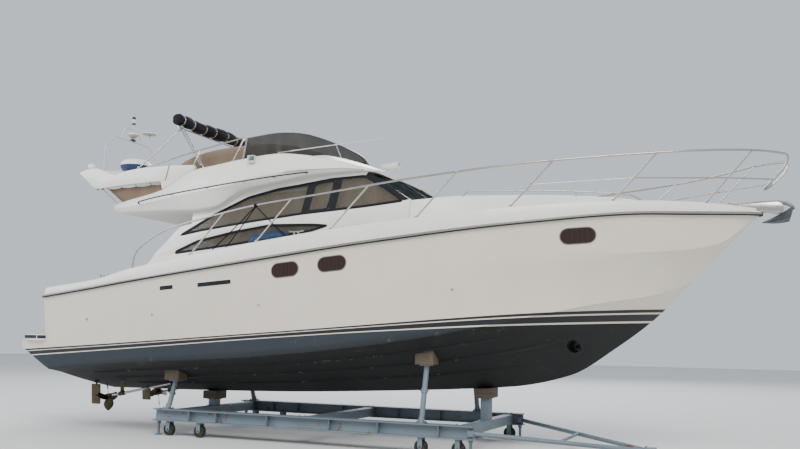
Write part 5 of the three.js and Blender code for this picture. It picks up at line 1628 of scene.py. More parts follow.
def cover_half(x):
    floor, top = floor_z(x) + 0.010, SEATED.top(x)
    wide, shoulder = SEATED.floorY(x), SEATED.topY(x)
    corners = [(wide, floor), (wide + 0.03, 4.70), (shoulder, top), (shoulder * 0.6, top + 0.045),
               (0, top + 0.058)]
    line = rounded([Vector(c) for c in corners], 0.12, 4)
    dense = [line[0]]
    for a, b in zip(line, line[1:]):
        steps = max(1, math.ceil((b - a).length / 0.05))
        dense += [a + (b - a) * k / steps for k in range(1, steps + 1)]
    return dense


def evenly(line, count):
    """A line drawn again in count steps of one length."""
    lengths = [0]
    for a, b in zip(line, line[1:]):
        lengths.append(lengths[-1] + (b - a).length)
    even, k = [], 0
    for i in range(count + 1):
        goal = lengths[-1] * i / count
        while k < len(lengths) - 2 and lengths[k + 1] < goal:
            k += 1
        t = (goal - lengths[k]) / max(1e-9, lengths[k + 1] - lengths[k])
        even.append(line[k] + (line[k + 1] - line[k]) * t)
    return even


def fly_cover():
    """A fitted cover drawn tight over the seats' backs: long ripples between the points that hold it."""
    xs, count = stations(COVER[0].x, COVER[-1].x, 0.045), 60
    lines = {}
    for x in xs:
        half = cover_half(x)
        lines[x] = evenly([*half, *[Vector((-p.x, p.y)) for p in reversed(half[:-1])]], count)
    skirt = [0.0, 0.35, 0.7, 0.94]
    rows = [*[(xs[0], s) for s in skirt], *[(x, 1.0) for x in xs], *[(xs[-1], s) for s in reversed(skirt)]]
    last = len(rows) - 1

    def place(u, v):
        x, share = rows[round(u * last)]
        p = lines[x][round(v * count)]
        base = at(x + (0.012 if share < 0.95 and x < 3 else 0), p.x, p.y)
        if share < 1:
            foot = floor_z(x) + 0.010
            return Vector((base.x, base.y, foot + (p.y - foot) * share))
        edge = min(1, u / 0.06, (1 - u) / 0.06, v / 0.06, (1 - v) / 0.06)
        ripple = noise.noise(Vector((x * 1.1, p.x * 4.2, p.y * 1.3))) * 0.020
        crease = noise.noise(Vector((x * 5.0 + p.x * 2.0, p.x * 1.4, p.y * 5.0))) * 0.009
        seat = 0.018 * math.sin(x * 4.4 + 0.6) * max(0, 1 - abs(p.x) / 1.5)
        return base + Vector((0, 0, -abs(ripple + crease) * edge - seat * edge * 0.5))

    def seam(points):
        return tube([p + up(0.002) for p in points], 0.0045, 8)

    bm = outward(field(last, count, place))
    cover = piece("helm_cover", (bm, BROWN_CANVAS), replaces="fly_cover", smooth=60)
    seams = []
    for x in (2.95, 3.65, 4.35, 4.95):
        row = min(range(len(rows)), key=lambda i: abs(rows[i][0] - x))
        seams.append(seam(place(row / last, k / count) for k in range(3, count - 2)))
    for v in (0.30, 0.70):
        seams.append(seam(place(k / last, v) for k in range(len(skirt), len(rows) - len(skirt))))
    piece("helm_cover_seams", (seams, BROWN_CANVAS), smooth=50)


# Aerials, lights and searchlight
WHIP = Sizes(x=4.730, y=-1.557, r=0.012, length=1.950, rise=0.090)
WHIP.z = TOP.top(WHIP.x) + WHIP.r + GAP


def aerials():
    start = at(WHIP.x, WHIP.y, WHIP.z)
    tip = start + Vector((WHIP.length, 0, WHIP.rise))
    ferrule = start + (tip - start) * 0.12
    piece("whip_aerial",
          [([rod(start, tip, 0.009, 0.004), ball(start, WHIP.r)], WHITE_PAINT),
           ([rod(start, ferrule, 0.0105), ball(tip, 0.0055)], STEEL)],
          body="aerial", replaces="whip_antenna")
    low = at(0.40, -1.30, beam_z(1.30) - 0.012)
    globe = turned([(0, 0), (0.05, 0), (0.05, 0.012), (0.022, 0.022), (0.022, 0.06), (0.045, 0.07),
                    (0.068, 0.10), (0.070, 0.13), (0.05, 0.165), (0, 0.178)], low)
    piece("ball_aerial", (globe, RADAR_WHITE), smooth=50)
    for side, sign in SIDES.items():
        x, z = 4.26, TOP.top(4.26) - 0.085
        y = TOP.topY(4.26) + 0.055
        shell = box((x - 0.065, y - 0.085, z - 0.035), (x + 0.065, y + 0.05, z + 0.09), 0.014, 4)
        window = box((x - 0.042, y + 0.03, z - 0.008), (x + 0.069, y + 0.054, z + 0.076), 0.010, 3)
        piece(f"nav_light_{side}",
              [(on_side(shell, sign), WHITE_PAINT),
               (on_side(window, sign), GREEN_LENS if sign < 0 else RED_LENS)])


def searchlight():
    x, z = 5.99, 4.76
    base = turned([(0, 0), (0.062, 0), (0.062, 0.01), (0.045, 0.022), (0.036, 0.05), (0.036, 0.11),
                   (0, 0.115)], at(x, 0, coaming_z(x, 0) - 0.012))
    yoke = plate(x, 0, 0.045, 0.045, z - 0.05, z, 0.012, 3)
    shell = turned([(0, -0.075), (0.03, -0.072), (0.052, -0.055), (0.060, -0.03), (0.062, 0.05),
                    (0.070, 0.16), (0.078, 0.262), (0.079, 0.278), (0.071, 0.280), (0.068, 0.255),
                    (0, 0.245)], at(x, 0, z), axis=AHEAD)
    lens = turned([(0, 0.252), (0.066, 0.252), (0.066, 0.258), (0.03, 0.266), (0, 0.268)], at(x, 0, z),
                  axis=AHEAD)
    fins = [turned([(0.060, h), (0.066, h), (0.066, h + 0.006), (0.060, h + 0.006)], at(x, 0, z), axis=AHEAD)
            for h in (-0.02, 0.0, 0.02, 0.04)]
    piece("searchlight_lamp", [([base, yoke, shell, *fins], WHITE_PAINT), (lens, CLEAR_LENS)],
          replaces="searchlight", smooth=40)


# Bow rail, roller, anchor and deck fittings
RAIL_TOP = table("x y z", [(2.06, 1.885, 3.000), (2.13, 1.890, 3.170), (2.44, 1.910, 3.370),
                           (2.87, 1.925, 3.540), (3.67, 1.960, 3.690), (4.55, 1.985, 3.830),
                           (5.60, 1.995, 3.935), (7.00, 1.970, 4.085), (8.03, 1.890, 4.185),
                           (8.94, 1.745, 4.275), (9.90, 1.545, 4.340), (10.87, 1.300, 4.395),
                           (11.50, 1.010, 4.440), (12.08, 0.620, 4.482), (12.44, 0.370, 4.470),
                           (12.55, 0.290, 4.430), (12.50, 0.240, 4.280), (12.34, 0.180, 4.110),
                           (12.24, 0.090, 4.020)])
RAIL_LINE = lines_through(RAIL_TOP[:14])
STANCHIONS = (3.31, 4.61, 5.97, 7.37, 8.77, 10.18, 11.42)
RAKE = 0.66
RAIL_TIP = (12.345, 0.183, 4.118)


def stanchion(x):
    """The foot and head of a raked stanchion, to port."""
    foot = Vector((x, LINE.sheerY(x) - 0.082, LINE.rail(x)))
    head = Vector((x + RAKE, RAIL_LINE.y(x + RAKE), RAIL_LINE.z(x + RAKE) - 0.002))
    return foot, head


def bow_rail():
    posts = [stanchion(x) for x in STANCHIONS]
    mids = [foot * 0.52 + head * 0.48 for foot, head in posts]
    for side, sign in SIDES.items():
        def placed(point):
            return at(point[0], sign * point[1], point[2])
        first = RAIL_TOP[0]
        line = [(first.x - 0.012, first.y, LINE.rail(2.05) + 0.002)]
        line += [(row.x, row.y, row.z) for row in RAIL_TOP] + [(12.215, 0.0002, 4.005)]
        parts = [tube(through([placed(p) for p in line], 6), 0.0155, 12)]
        for foot, head in posts:
            parts.append(rod(placed(foot + Vector((-0.004, 0, -0.006))), placed(head), 0.0128))
            parts.append(knob([(0.032, 0), (0.032, 0.004), (0.022, 0.010), (0.018, 0.026)],
                              placed(foot + up(-0.002))))
            parts.append(ball(placed(head), 0.0185, detail=12))
        parts.append(knob([(0.034, 0), (0.034, 0.004), (0.022, 0.012)], placed(line[0]) - up(0.002)))
        parts.append(tube([placed(RAIL_TIP), placed(mids[6]), placed(mids[5])], 0.0105))
        parts.append(tube([placed(mids[5]), placed(mids[4])], 0.004, 8))
        for point in (mids[6], mids[5], mids[4]):
            parts.append(ball(placed(point), 0.0165, detail=12))
        piece(f"bow_rail_tubes_{side}", (parts, STEEL), replaces=f"bow_rail_{side}", smooth=45)


ROLLER = Sizes(x=12.385, z=3.735, r=0.038)


def bow_roller():
    nose = [(12.27, 3.662), (12.33, 3.637), (12.40, 3.634), (12.455, 3.668), (12.47, 3.722), (12.44, 3.775),
            (12.38, 3.80)]
    outline = [(11.72, 3.765), (11.72, 3.69), (12.20, 3.66)]
    outline += [*through_flat(nose, 4), (12.20, 3.795), (11.74, 3.785)]
    cheeks = [on_side(soften(side_profile(outline, 0.0585, 0.0695), 0.0035, 2, 50), sign) for sign in BOTH]
    z = ROLLER.z
    channel = box((11.72, -0.069, 3.700), (12.30, 0.069, 3.742), 0.004)
    wheel = knob([(0.036, -0.054), (0.038, -0.045), (0.030, -0.012), (0.028, 0), (0.030, 0.012),
                  (0.038, 0.045), (0.036, 0.054)], at(ROLLER.x, 0, z), axis=ACROSS)
    pin = rod(at(ROLLER.x, -0.078, z), at(ROLLER.x, 0.078, z), 0.009)
    bolts = [knob([(0.012, 0), (0.012, 0.006), (0.006, 0.010)],
                  at(x, sign * 0.0693, 3.75), axis=(0, sign, 0)) for x in (11.80, 12.02) for sign in BOTH]
    piece("roller_cheeks", [([*cheeks, channel, pin, *bolts], STEEL), (wheel, BLACK_PLASTIC)],
          replaces="bow_roller")


def fluke(sign):
    """One side of the plough, hollowed between its ridge and its edge."""
    ridge = through_flat([(12.61, 3.745), (12.47, 3.655), (12.32, 3.575), (12.175, 3.512)], 4)
    edge = through_flat([(12.54, 3.53), (12.42, 3.505), (12.30, 3.497), (12.17, 3.503)], 4)
    rings = []
    for k, ((x0, z0), (x1, z1)) in enumerate(zip(ridge, edge)):
        reach = 0.17 * (1 - k / (len(ridge) - 1)) ** 0.8 + 0.003
        ring = []
        for t in (0, 0.33, 0.66, 1):
            hollow = 0.012 * math.sin(math.pi * t)
            ring.append((x0 + (x1 - x0) * t, reach * t - hollow, z0 + (z1 - z0) * t - hollow))
        back = [(x - 0.004, y + 0.009, z + 0.002) for x, y, z in reversed(ring)]
        rings.append([at(x, sign * y, z) for x, y, z in [*ring, *back]])
    return loft(rings)


def anchor():
    lift = ROLLER.z + ROLLER.r + 0.0185
    top = [(11.88, 3.802), (12.10, 3.826), (12.30, 3.832), (ROLLER.x + 0.05, lift + 0.034), (12.56, 3.79),
           (12.625, 3.70)]
    low = [(12.60, 3.68), (12.52, 3.745), (ROLLER.x, lift - 0.018), (12.25, 3.762), (11.88, 3.762)]
    shank = soften(side_profile(through_flat(top, 5) + through_flat(low, 5), -0.011, 0.011), 0.003, 2, 50)
    eye = turned([(0.012, -0.006), (0.022, -0.006), (0.022, 0.006), (0.012, 0.006), (0.012, -0.006)],
                 at(11.895, 0, 3.79), axis=ACROSS)
    wings = [fluke(sign) for sign in BOTH]
    web = [(12.60, 3.73), (12.55, 3.60), (12.43, 3.59), (12.47, 3.66)]
    stiffener = side_profile(web, -0.008, 0.008)
    piece("plough_anchor", ([shank, eye, stiffener, *wings], ZINC), replaces="anchor")


def windlass():
    """The windlass and the chain that runs from it to the anchor."""
    links = []
    for i in range(9):
        turn = Matrix.Rotation(math.pi / 2 * (i % 2), 4, "X")
        loop = [Vector((0.026 * math.cos(a), 0.015 * math.sin(a), 0)) for a in angles(20)]
        middle = at(11.86 - 0.042 * i, 0, 3.797 + 0.003 * (i % 2))
        links.append(tube([middle + turn @ p for p in loop], 0.005, 8, ring=True))
    x, base = 11.38, deck_z(11.38)
    drum = knob([(0.10, 0), (0.10, 0.012), (0.062, 0.020), (0.050, 0.05), (0.060, 0.066), (0.048, 0.080),
                 (0.060, 0.094), (0.050, 0.125), (0.020, 0.132)], at(x, 0, base - 0.001))
    bed = box((11.24, -0.11, base - 0.004), (11.52, 0.11, base + 0.006), 0.004)
    piece("windlass", ([drum, bed, *links], STEEL), smooth=45)


MIDSHIP_CLEAT = 5.36


def cleat(place, heading=(1, 0)):
    """A horned cleat with its two feet."""
    ahead = Vector((*heading, 0)).normalized()
    line = ((-0.125, 0.060), (-0.06, 0.050), (0, 0.049), (0.06, 0.050), (0.125, 0.060))
    horn = through([place + ahead * along + up(high) for along, high in line], 5)
    parts = [tube(horn, 0.0105), ball(horn[0], 0.0105, detail=12), ball(horn[-1], 0.0105, detail=12)]
    for side in (-0.038, 0.038):
        foot = place + ahead * side - up(0.001)
        parts.append(knob([(0.023, 0), (0.021, 0.006), (0.012, 0.014), (0.011, 0.05)], foot))
    return parts


def fairlead(sign):
    """An open lead for a mooring line, on the bulwark at the bow."""
    x = 11.78
    low = at(x, sign * (LINE.sheerY(x) - 0.06), LINE.rail(x) - 0.004)
    line = ((-0.07, 0, 0.012), (-0.045, 0, 0.036), (0.045, 0, 0.036), (0.07, 0, 0.012))
    return tube(through([low + Vector(p) for p in line], 4), 0.011)


def roof_rail(sign):
    """The low rail along the coach roof, on two posts."""
    def over(x, height, inset=0.055):
        return at(x, sign * (ROOF.top(x) - inset), ROOF.z(x) + height)

    line = [over(7.87, 0.005), *[over(x, 0.075) for x in stations(7.95, 10.35, 0.3)],
            over(10.50, 0.004, 0.06)]
    parts = [tube(rounded(line, 0.06, 4), 0.011)]
    for x in (8.75, 9.55):
        low = over(x, 0)
        parts += [rod(low, low + up(0.075), 0.008),
                  turned([(0, 0), (0.022, 0), (0.02, 0.005), (0, 0.007)], low + up(0.004))]
    return parts


def deck_fittings():
    parts = []
    for sign in BOTH:
        for x in (1.35, MIDSHIP_CLEAT):
            parts += cleat(at(x, sign * (LINE.sheerY(x) - 0.083), LINE.rail(x)))
        for x, y in ((11.15, 0.20), (11.35, 0.27)):
            parts += cleat(at(x, sign * y, deck_z(x)), (1, -0.3 * sign))
        filler = at(6.2, sign * (LINE.sheerY(6.2) - 0.082), LINE.rail(6.2) - 0.001)
        parts += [fairlead(sign), knob([(0.032, 0), (0.032, 0.003), (0.026, 0.005)], filler),
                  *roof_rail(sign)]
    piece("deck_hardware", (parts, STEEL), smooth=45)


def fore_hatch():
    half, x, z = FORE_HATCH.half - 0.015, FORE_HATCH.x, FORE_HATCH.z + GAP
    corners = [at(x - half, -half, z), at(x + half, -half, z), at(x + half, half, z), at(x - half, half, z)]
    rim = soften(border(corners, 0.04, (0, 0, 0.0346)), 0.006, 3)
    pane = plate(x, 0, half - 0.036, half - 0.036, z + 0.010, z + 0.031, 0.003)
    handles = [plate(x + 0.17, y, 0.03, 0.012, z + 0.030, z + 0.0346, 0.002) for y in (-0.13, 0.13)]
    hinges = [box((x - half - 0.0005, y - 0.03, z + 0.002), (x - half + 0.03, y + 0.03, z + 0.036), 0.003)
              for y in (-0.16, 0.16)]
    piece("fore_hatch_lid", [(rim, ALLOY), (pane, DARK_GLASS), ([*handles, *hinges], STEEL)],
          body="fore_lid", replaces="foredeck_hatch")


PORTS = ((5.20, 2.77), (6.03, 2.85), (9.70, 3.24))
PORT = Sizes(half=0.25, tall=0.12)


def hull_y(x, z):
    """The half breadth of the hull's side at a height."""
    half = hull_section(x)[9:-1]
    for (y0, z0), (y1, z1) in zip(half, half[1:]):
        if z0 <= z <= z1:
            return y0 + (y1 - y0) * (z - z0) / (z1 - z0)
    return half[-1][0]


def on_hull(x, z, out=0.0):
    """A point on the port side of the hull, or a little outside it."""
    ahead = Vector((0.1, hull_y(x + 0.05, z) - hull_y(x - 0.05, z), 0))
    upward = Vector((0, hull_y(x, z + 0.03) - hull_y(x, z - 0.03), 0.06))
    normal = upward.cross(ahead).normalized()
    if normal.y < 0:
        normal.negate()
    return at(x, hull_y(x, z), z) + normal * out


def stadium(x, z, grow):
    """A porthole's outline, which leans with the sheer."""
    steps, tilt = 9, 0.09
    r = PORT.tall + grow
    reach = PORT.half - PORT.tall
    points = []
    for centre, start in ((reach, -90), (-reach, 90)):
        for i in range(steps + 1):
            a = math.radians(start + 180 * i / steps)
            dx, dz = centre + r * math.cos(a), r * math.sin(a)
            points.append((x + dx, z + dz + tilt * dx))
    return points


def collar(inner, outer, low, high):
    """A raised ring on the hull between two outlines."""
    count = len(inner)
    rings = []
    for i in range(count + 1):
        (ax, az), (bx, bz) = inner[i % count], outer[i % count]
        mx, mz = (ax + bx) / 2, (az + bz) / 2
        rings.append([on_hull(ax, az, low), on_hull(ax, az, high * 0.7), on_hull(mx, mz, high),
                      on_hull(bx, bz, high * 0.5), on_hull(bx, bz, low)])
    return loft(rings)


def port_lights(side, sign):
    rims, panes = [], []
    for x, z in PORTS:
        rims.append(on_side(collar(stadium(x, z, -0.012), stadium(x, z, 0.002), -0.004, 0.007), sign))
        bm = bmesh.new()
        middle = bm.verts.new(on_hull(x, z, 0.003))
        ring = [bm.verts.new(on_hull(px, pz, 0.003)) for px, pz in stadium(x, z, -0.010)]
        for i, vert in enumerate(ring):
            bm.faces.new((middle, vert, ring[(i + 1) % len(ring)]))
        panes.append(on_side(thickened(bm, (0, -0.006, 0)), sign))
    piece(f"portholes_{side}", [(rims, RIM), (panes, BROWN_LENS)], smooth=50)


def air_intakes(side, sign):
    """Slots with bars before them, which run up with the sheer. Each slot is a black sheet on the hull,
    painted shade in place of an opening.
    """
    frames, slot_shade_sheets, bars = [], [], []
    slope, count = 0.075, 4
    for x0, x1, z in ((2.73, 3.03, 2.50), (3.52, 4.20, 2.545)):
        rise = slope * (x1 - x0)
        outline = rounded_outline([(x0, z - 0.045), (x1, z - 0.045 + rise), (x1, z + 0.045 + rise),
                                   (x0, z + 0.045)], 0.03)
        frames.append(on_side(collar(grown(outline, -0.010), outline, -0.003, 0.006), sign))
        # The slot's black sheet lies on the hull: painted shade for the opening behind the bars.
        section = ((-0.036, -0.002), (0.036, -0.002), (0.036, 0.0015), (-0.036, 0.0015))
        slot_shade_sheets.append(on_side(loft([[on_hull(x, z + slope * (x - x0) + h, out) for h, out in section]
                                   for x in stations(x0 + 0.008, x1 - 0.008, 0.1)]), sign))
        for i in range(count):
            bar = []
            for x in stations(x0 + 0.012, x1 - 0.012, 0.12):
                h = z + slope * (x - x0) - 0.038 + 0.076 * (i + 0.5) / count
                bar.append([on_hull(x, h - 0.006, -0.002), on_hull(x, h + 0.006, -0.002),
                            on_hull(x, h + 0.001, 0.007), on_hull(x, h - 0.006, 0.006)])
            bars.append(on_side(loft(bar), sign))
    parts = [(frames, GELCOAT), (slot_shade_sheets, FRIT), (bars, BLACK_PLASTIC)]
    piece(f"air_intakes_{side}", parts, smooth=40)


def skin_fittings(side, sign):
    outlets = []
    for x, z, r in ((1.05, 1.98, 0.022), (2.55, 2.06, 0.018), (4.7, 2.22, 0.016), (7.9, 2.45, 0.016)):
        normal = (on_hull(x, z, 0.01) - on_hull(x, z, 0)).normalized()
        profile = [(0.5 * r, 0.001), (0.6 * r, 0.008), (r, 0.009), (1.35 * r, 0.005), (1.4 * r, 0)]
        outlets.append(on_side(turned(profile, on_hull(x, z, -0.002), axis=normal), sign))
    piece(f"skin_fittings_{side}", (outlets, STEEL), smooth=50)


def topside_fittings():
    for side, sign in SIDES.items():
        port_lights(side, sign)
        air_intakes(side, sign)
        skin_fittings(side, sign)


# Lashings from the rail to the side deck
LINE_SIZE = 0.018
LASHED_AT = (4.600, -1.985, 3.832)
LASHINGS = table("x y", [(3.48, -1.75), (3.80, -1.75), (5.17, -1.85)])


def lashings():
    """Taut lines from one place on the rail down to eyes in the side deck."""
    eyes = []
    for i, row in enumerate(LASHINGS):
        head = at(*LASHED_AT) + Vector((0.016 * (i - 1), 0, -0.024))
        eye = at(row.x, row.y, deck_z(row.x) + 0.034)
        path = [head.lerp(eye, t / 19) - Vector((0, 0, 0.010 * math.sin(math.pi * t / 19)))
                for t in range(20)]
        line = piece(f"lashing_{i + 1}", (tube(path, LINE_SIZE / 2), ROPE), smooth=60)
        turns = []
        for shift in (-0.004, 0.004):
            middle = at(*LASHED_AT) + Vector((0.016 * (i - 1) + shift, 0, 0))
            loop = [middle + Vector((0, 0.022 * math.cos(a), 0.022 * math.sin(a))) for a in angles(20)]
            turns.append(tube(loop, 0.0045, 8, ring=True))
        knot = [ball(eye + up(0.002), 0.014, (1.2, 1, 0.9), 12), ball(head, 0.012, detail=12)]
        knots = piece(f"lashing_knots_{i + 1}", ([*turns, *knot], ROPE), smooth=60)
        foot = at(row.x, row.y, deck_z(row.x) - 0.001)
        arc = [foot + Vector((0.014 * math.cos(a), 0, 0.004 + 0.026 * math.sin(a))) for a in
               (math.pi * k / 10 for k in range(11))]
        eyes.append(tube(arc, 0.004, 8))
        eyes.append(turned([(0, 0), (0.024, 0), (0.023, 0.004), (0, 0.006)], foot))
    piece("lashing_eyes", (eyes, STEEL), smooth=45)


# Fender on the side deck
FENDER = Sizes(x0=4.35, x1=5.08, y=-1.768, r=0.122, taper=0.09)


def fender():
    f = FENDER
    low, high = (at(x, f.y, deck_z(x) + f.r - 0.0005) for x in (f.x0, f.x1))
    length = (high - low).length
    ends = [(0, 0.004), (0.020, 0.004), (0.036, 0.012), (0.052, 0.022), (0.085, 0.05), (0.108, 0.085),
            (0.119, 0.13)]
    profile = [*ends, (0.1215, 0.20), (0.1215, length / 2)]
    whole = [*profile, *[(r, length - z) for r, z in reversed(profile[:-1])]]
    body = turned(whole, low, axis=high - low, steps=40)
    ribs = []
    for share in (0.22, 0.78):
        z = share * length
        ribs.append(turned([(0.1205, z - 0.012), (0.1222, z - 0.004), (0.1222, z + 0.004),
                            (0.1205, z + 0.012)], low, axis=high - low, steps=40))
    eyes = [turned([(0.008, -0.01), (0.020, -0.01), (0.020, 0.01), (0.008, 0.01), (0.008, -0.01)],
                   point, axis=ACROSS, steps=20) for point in (low + Vector((0.004, 0, 0)), high)]
    for bm in (body, *ribs, *eyes):
        for vert in bm.verts:
            vert.co.z = max(vert.co.z, deck_z(vert.co.x - STERN) + 0.0008)
    piece("deck_fender", ([body, *ribs, *eyes], BLUE_VINYL), replaces="fender", smooth=45)


# Cockpit and saloon
BENCH = Sizes(x0=0.3004, x1=0.86, y0=-0.60, y1=1.30, seat=2.40, back=2.57)
STAIRS = Sizes(x0=1.02, x1=2.10, y0=0.85, y1=1.35, treads=8, thick=0.034, top=4.04)


def cushion(low, high, crown, panels):
    """A crowned pad: its middle stands up, and its sides pull in between the corners and at the seams."""
    bm, size = cube(low, high), high - low
    bmesh.ops.bevel(bm, geom=bm.edges[:], offset=min(size) * 0.28, offset_type="OFFSET", segments=4,
                    profile=0.5, affect="EDGES", clamp_overlap=True, material=-1)
    bmesh.ops.subdivide_edges(bm, edges=bm.edges[:], cuts=5, use_grid_fill=True)
    thin = min(range(3), key=lambda axis: size[axis])
    others = [axis for axis in range(3) if axis != thin]
    centre = (low + high) / 2
    for vert in bm.verts:
        offset = vert.co - centre
        u, v = (2 * offset[axis] / size[axis] for axis in others)
        dome = max(0, 1 - u * u) * max(0, 1 - v * v)
        long_axis = others[0] if size[others[0]] > size[others[1]] else others[1]
        share = (vert.co[long_axis] - low[long_axis]) / size[long_axis] * panels
        valley = abs(share - round(share))
        dip = 0.012 * math.exp(-(valley / 0.05) ** 2) if 0 < round(share) < panels else 0
        wrinkle = 0.002 * noise.noise(vert.co * 9)
        top = 1 if offset[thin] > 0 else 0
        vert.co[thin] += top * ((crown * dome - crown) * 0.8 - dip + wrinkle)
        for axis, w in zip(others, (v, u)):
            edge = offset[axis] / size[axis] * 2
            vert.co[axis] -= 0.012 * edge ** 3 * (1 - w * w) * 0.6
    return bm


def cockpit_bench():
    b = BENCH
    sole = COCKPIT.sole + GAP
    base = box((b.x0, b.y0, sole), (b.x1 - 0.02, b.y1, 2.285), 0.015, 3)
    rest = box((b.x0, b.y0, 2.28), (b.x0 + 0.05, b.y1, 2.55), 0.012, 3)
    door = box((b.x1 - 0.0215, b.y0 + 0.5, 2.06), (b.x1 - 0.016, b.y1 - 0.5, 2.24), 0.003)
    piece("bench_locker", ([base, rest, door], GELCOAT), replaces="cockpit_bench")
    seat = cushion(at(b.x0 + 0.125, b.y0 + 0.005, 2.286), at(b.x1, b.y1 - 0.005, b.seat), 0.03, 3)
    piece("bench_seat_pad", (seat, UPHOLSTERY), smooth=60)
    back = cushion(at(b.x0 + 0.048, b.y0 + 0.01, 2.33), at(b.x0 + 0.135, b.y1 - 0.01, b.back), 0.02, 3)
    piece("bench_back_pad", (back, UPHOLSTERY), smooth=60)


def stairs():
    s = STAIRS
    rise, run = s.top - COCKPIT.sole, s.x1 - s.x0
    sole = COCKPIT.sole + GAP
    stringer = [(s.x0, sole), (s.x0 + 0.14, sole), (s.x1 + 0.06, 4.0), (s.x1 - 0.08, 4.0)]
    parts = [soften(side_profile(stringer, y, y + s.thick), 0.008, 2) for y in (s.y0, s.y1 - s.thick)]
    treads = []
    for i in range(1, s.treads + 1):
        t = i / (s.treads + 1)
        x, z = s.x0 + run * t, COCKPIT.sole + rise * t
        x0, x1 = x - 0.04, x + 0.19
        if z > 3.78:
            x0, x1 = max(x0, STAIRWELL.x0 + 0.006), min(x1, STAIRWELL.x1 - 0.006)
        parts.append(box((x0, s.y0 + 0.012, z - 0.03), (x1, s.y1 - 0.012, z - 0.006), 0.005))
        treads.append(box((x0 + 0.008, s.y0 + 0.045, z - 0.0065), (x1 - 0.008, s.y1 - 0.045, z), 0.002))
    piece("stair_flight", [(parts, GELCOAT), (treads, TEAK)], replaces="fly_stairs")
    rail = [(1.10, 0.004, 2.22), (1.02, -0.018, 2.62), (1.10, -0.018, 2.90), (1.72, -0.018, 3.82),
            (1.78, -0.018, 3.86), (1.75, 0.004, 3.44)]
    rail = tube(through([at(x, s.y0 + out, z) for x, out, z in rail], 5), 0.013)
    piece("stair_rail", (rail, STEEL))


def engine_lid():
    lid = LID
    gap = 0.006
    low = at(lid.x0 + gap, gap - lid.y, COCKPIT.sole - lid.depth + GAP)
    high = at(lid.x1 - gap, lid.y - gap, COCKPIT.sole)
    panel = block(low, high, 0.004)
    top = block(Vector((low.x + 0.03, low.y + 0.03, high.z - 0.001)),
                Vector((high.x - 0.03, high.y - 0.03, high.z + 0.004)), 0.002)
    ring = [turned([(0.020, 0), (0.032, 0), (0.032, 0.003), (0.020, 0.003), (0.020, 0)],
                   Vector((high.x - 0.08, y, high.z + 0.0035)), steps=24) for y in (-0.26, 0.26)]
    piece("engine_hatch_lid", [(panel, GELCOAT), (top, TEAK), (ring, STEEL)],
          body="engine_lid", replaces="engine_hatch")


ENGINE_PARTS = table("x0 x1 half z0 z1 soft segments", [
    (1.20, 2.15, 0.22, 0.16, 0.50, 0.03, 3), (1.28, 2.10, 0.17, 0.02, 0.18, 0.03, 3),
    (1.24, 2.10, 0.15, 0.48, 0.60, 0.025, 3), (1.26, 2.06, 0.10, 0.59, 0.70, 0.03, 4),
])
ENGINE_Y = 0.64


def engines():
    for side, sign in SIDES.items():
        y, z = sign * ENGINE_Y, ENGINE_ROOM.floor + GAP
        *castings, cover = [box((p.x0, y - p.half, z + p.z0), (p.x1, y + p.half, z + p.z1), p.soft,
                                p.segments) for p in ENGINE_PARTS]
        bell = turned([(0, 0), (0.19, 0), (0.21, 0.02), (0.21, 0.06), (0.14, 0.12), (0.12, 0.17), (0, 0.18)],
                      at(1.22, y, z + 0.30), axis=(-1, 0, 0))
        turbo = knob([(0.07, 0), (0.085, 0.03), (0.085, 0.08), (0.05, 0.10), (0.05, 0.14)],
                     at(1.30, y + sign * 0.20, z + 0.56), axis=AHEAD)
        runners = [tube(through([at(x, y + sign * 0.14, z + 0.52), at(x, y + sign * 0.24, z + 0.50),
                                 at(x - 0.03, y + sign * 0.28, z + 0.42)], 4), 0.028)
                   for x in (1.50, 1.64, 1.78, 1.92, 2.04)]
        feet = [outward(box((x - 0.05, y + s * 0.21, z), (x + 0.05, y + s * 0.36, z + 0.17), 0.01))
                for x in (1.36, 1.98) for s in BOTH]
        pulley = knob([(0.10, 0), (0.10, 0.012), (0.085, 0.02), (0.10, 0.028), (0.10, 0.04)],
                      at(2.15, y, z + 0.30), axis=AHEAD)
        piece(f"engine_block_{side}",
              [([*castings, bell, *feet], ENGINE_PAINT), ([cover, pulley], BLACK_PLASTIC),
               ([turbo, *runners], RUSTY)],
              replaces=f"engine_{side}", smooth=40)


def saloon():
    sole = SALOON.sole + GAP
    base = box((3.70, 0.80, sole), (6.00, 1.39, 2.50), 0.012)
    cabinet = box((5.99, -1.39, sole), (6.90, 1.39, 2.90), 0.015)
    console = soften(side_profile([(6.30, 2.89), (6.90, 2.89), (6.90, 3.35), (6.52, 3.35), (6.30, 3.16)],
                                  -1.25, -0.35), 0.02, 3)
    dash = soften(side_profile([(6.335, 3.20), (6.50, 3.345), (6.492, 3.352), (6.327, 3.207)], -1.15, -0.45),
                  0.002)
    hub = at(6.30, -0.85, 3.06)
    lean = Vector((-0.80, 0, 0.28)).normalized()
    rim = [hub + lean * 0.10 + Vector((-0.28 * math.cos(a) * 0.31, 0.20 * math.sin(a),
                                       -0.80 * math.cos(a) * 0.24)) for a in angles(40)]
    wheel = [tube(rim, 0.012, ring=True), rod(hub, hub + lean * 0.11, 0.022)]
    wheel += [rod(hub + lean * 0.10, rim[k], 0.008) for k in (0, 13, 27)]
    piece("saloon_joinery",
          [([base, cabinet, console], VARNISH), (dash, BLACK_PLASTIC), (wheel, BLACK_PLASTIC)],
          replaces="saloon_furniture")
    seat = cushion(at(3.71, 0.79, 2.501), at(5.98, 1.25, 2.62), 0.03, 4)
    piece("sofa_seat", (seat, HEADLINER), smooth=60)
    back = cushion(at(3.71, 1.245, 2.56), at(5.98, 1.385, 3.0), 0.02, 4)
    piece("sofa_back", (back, HEADLINER), smooth=60)


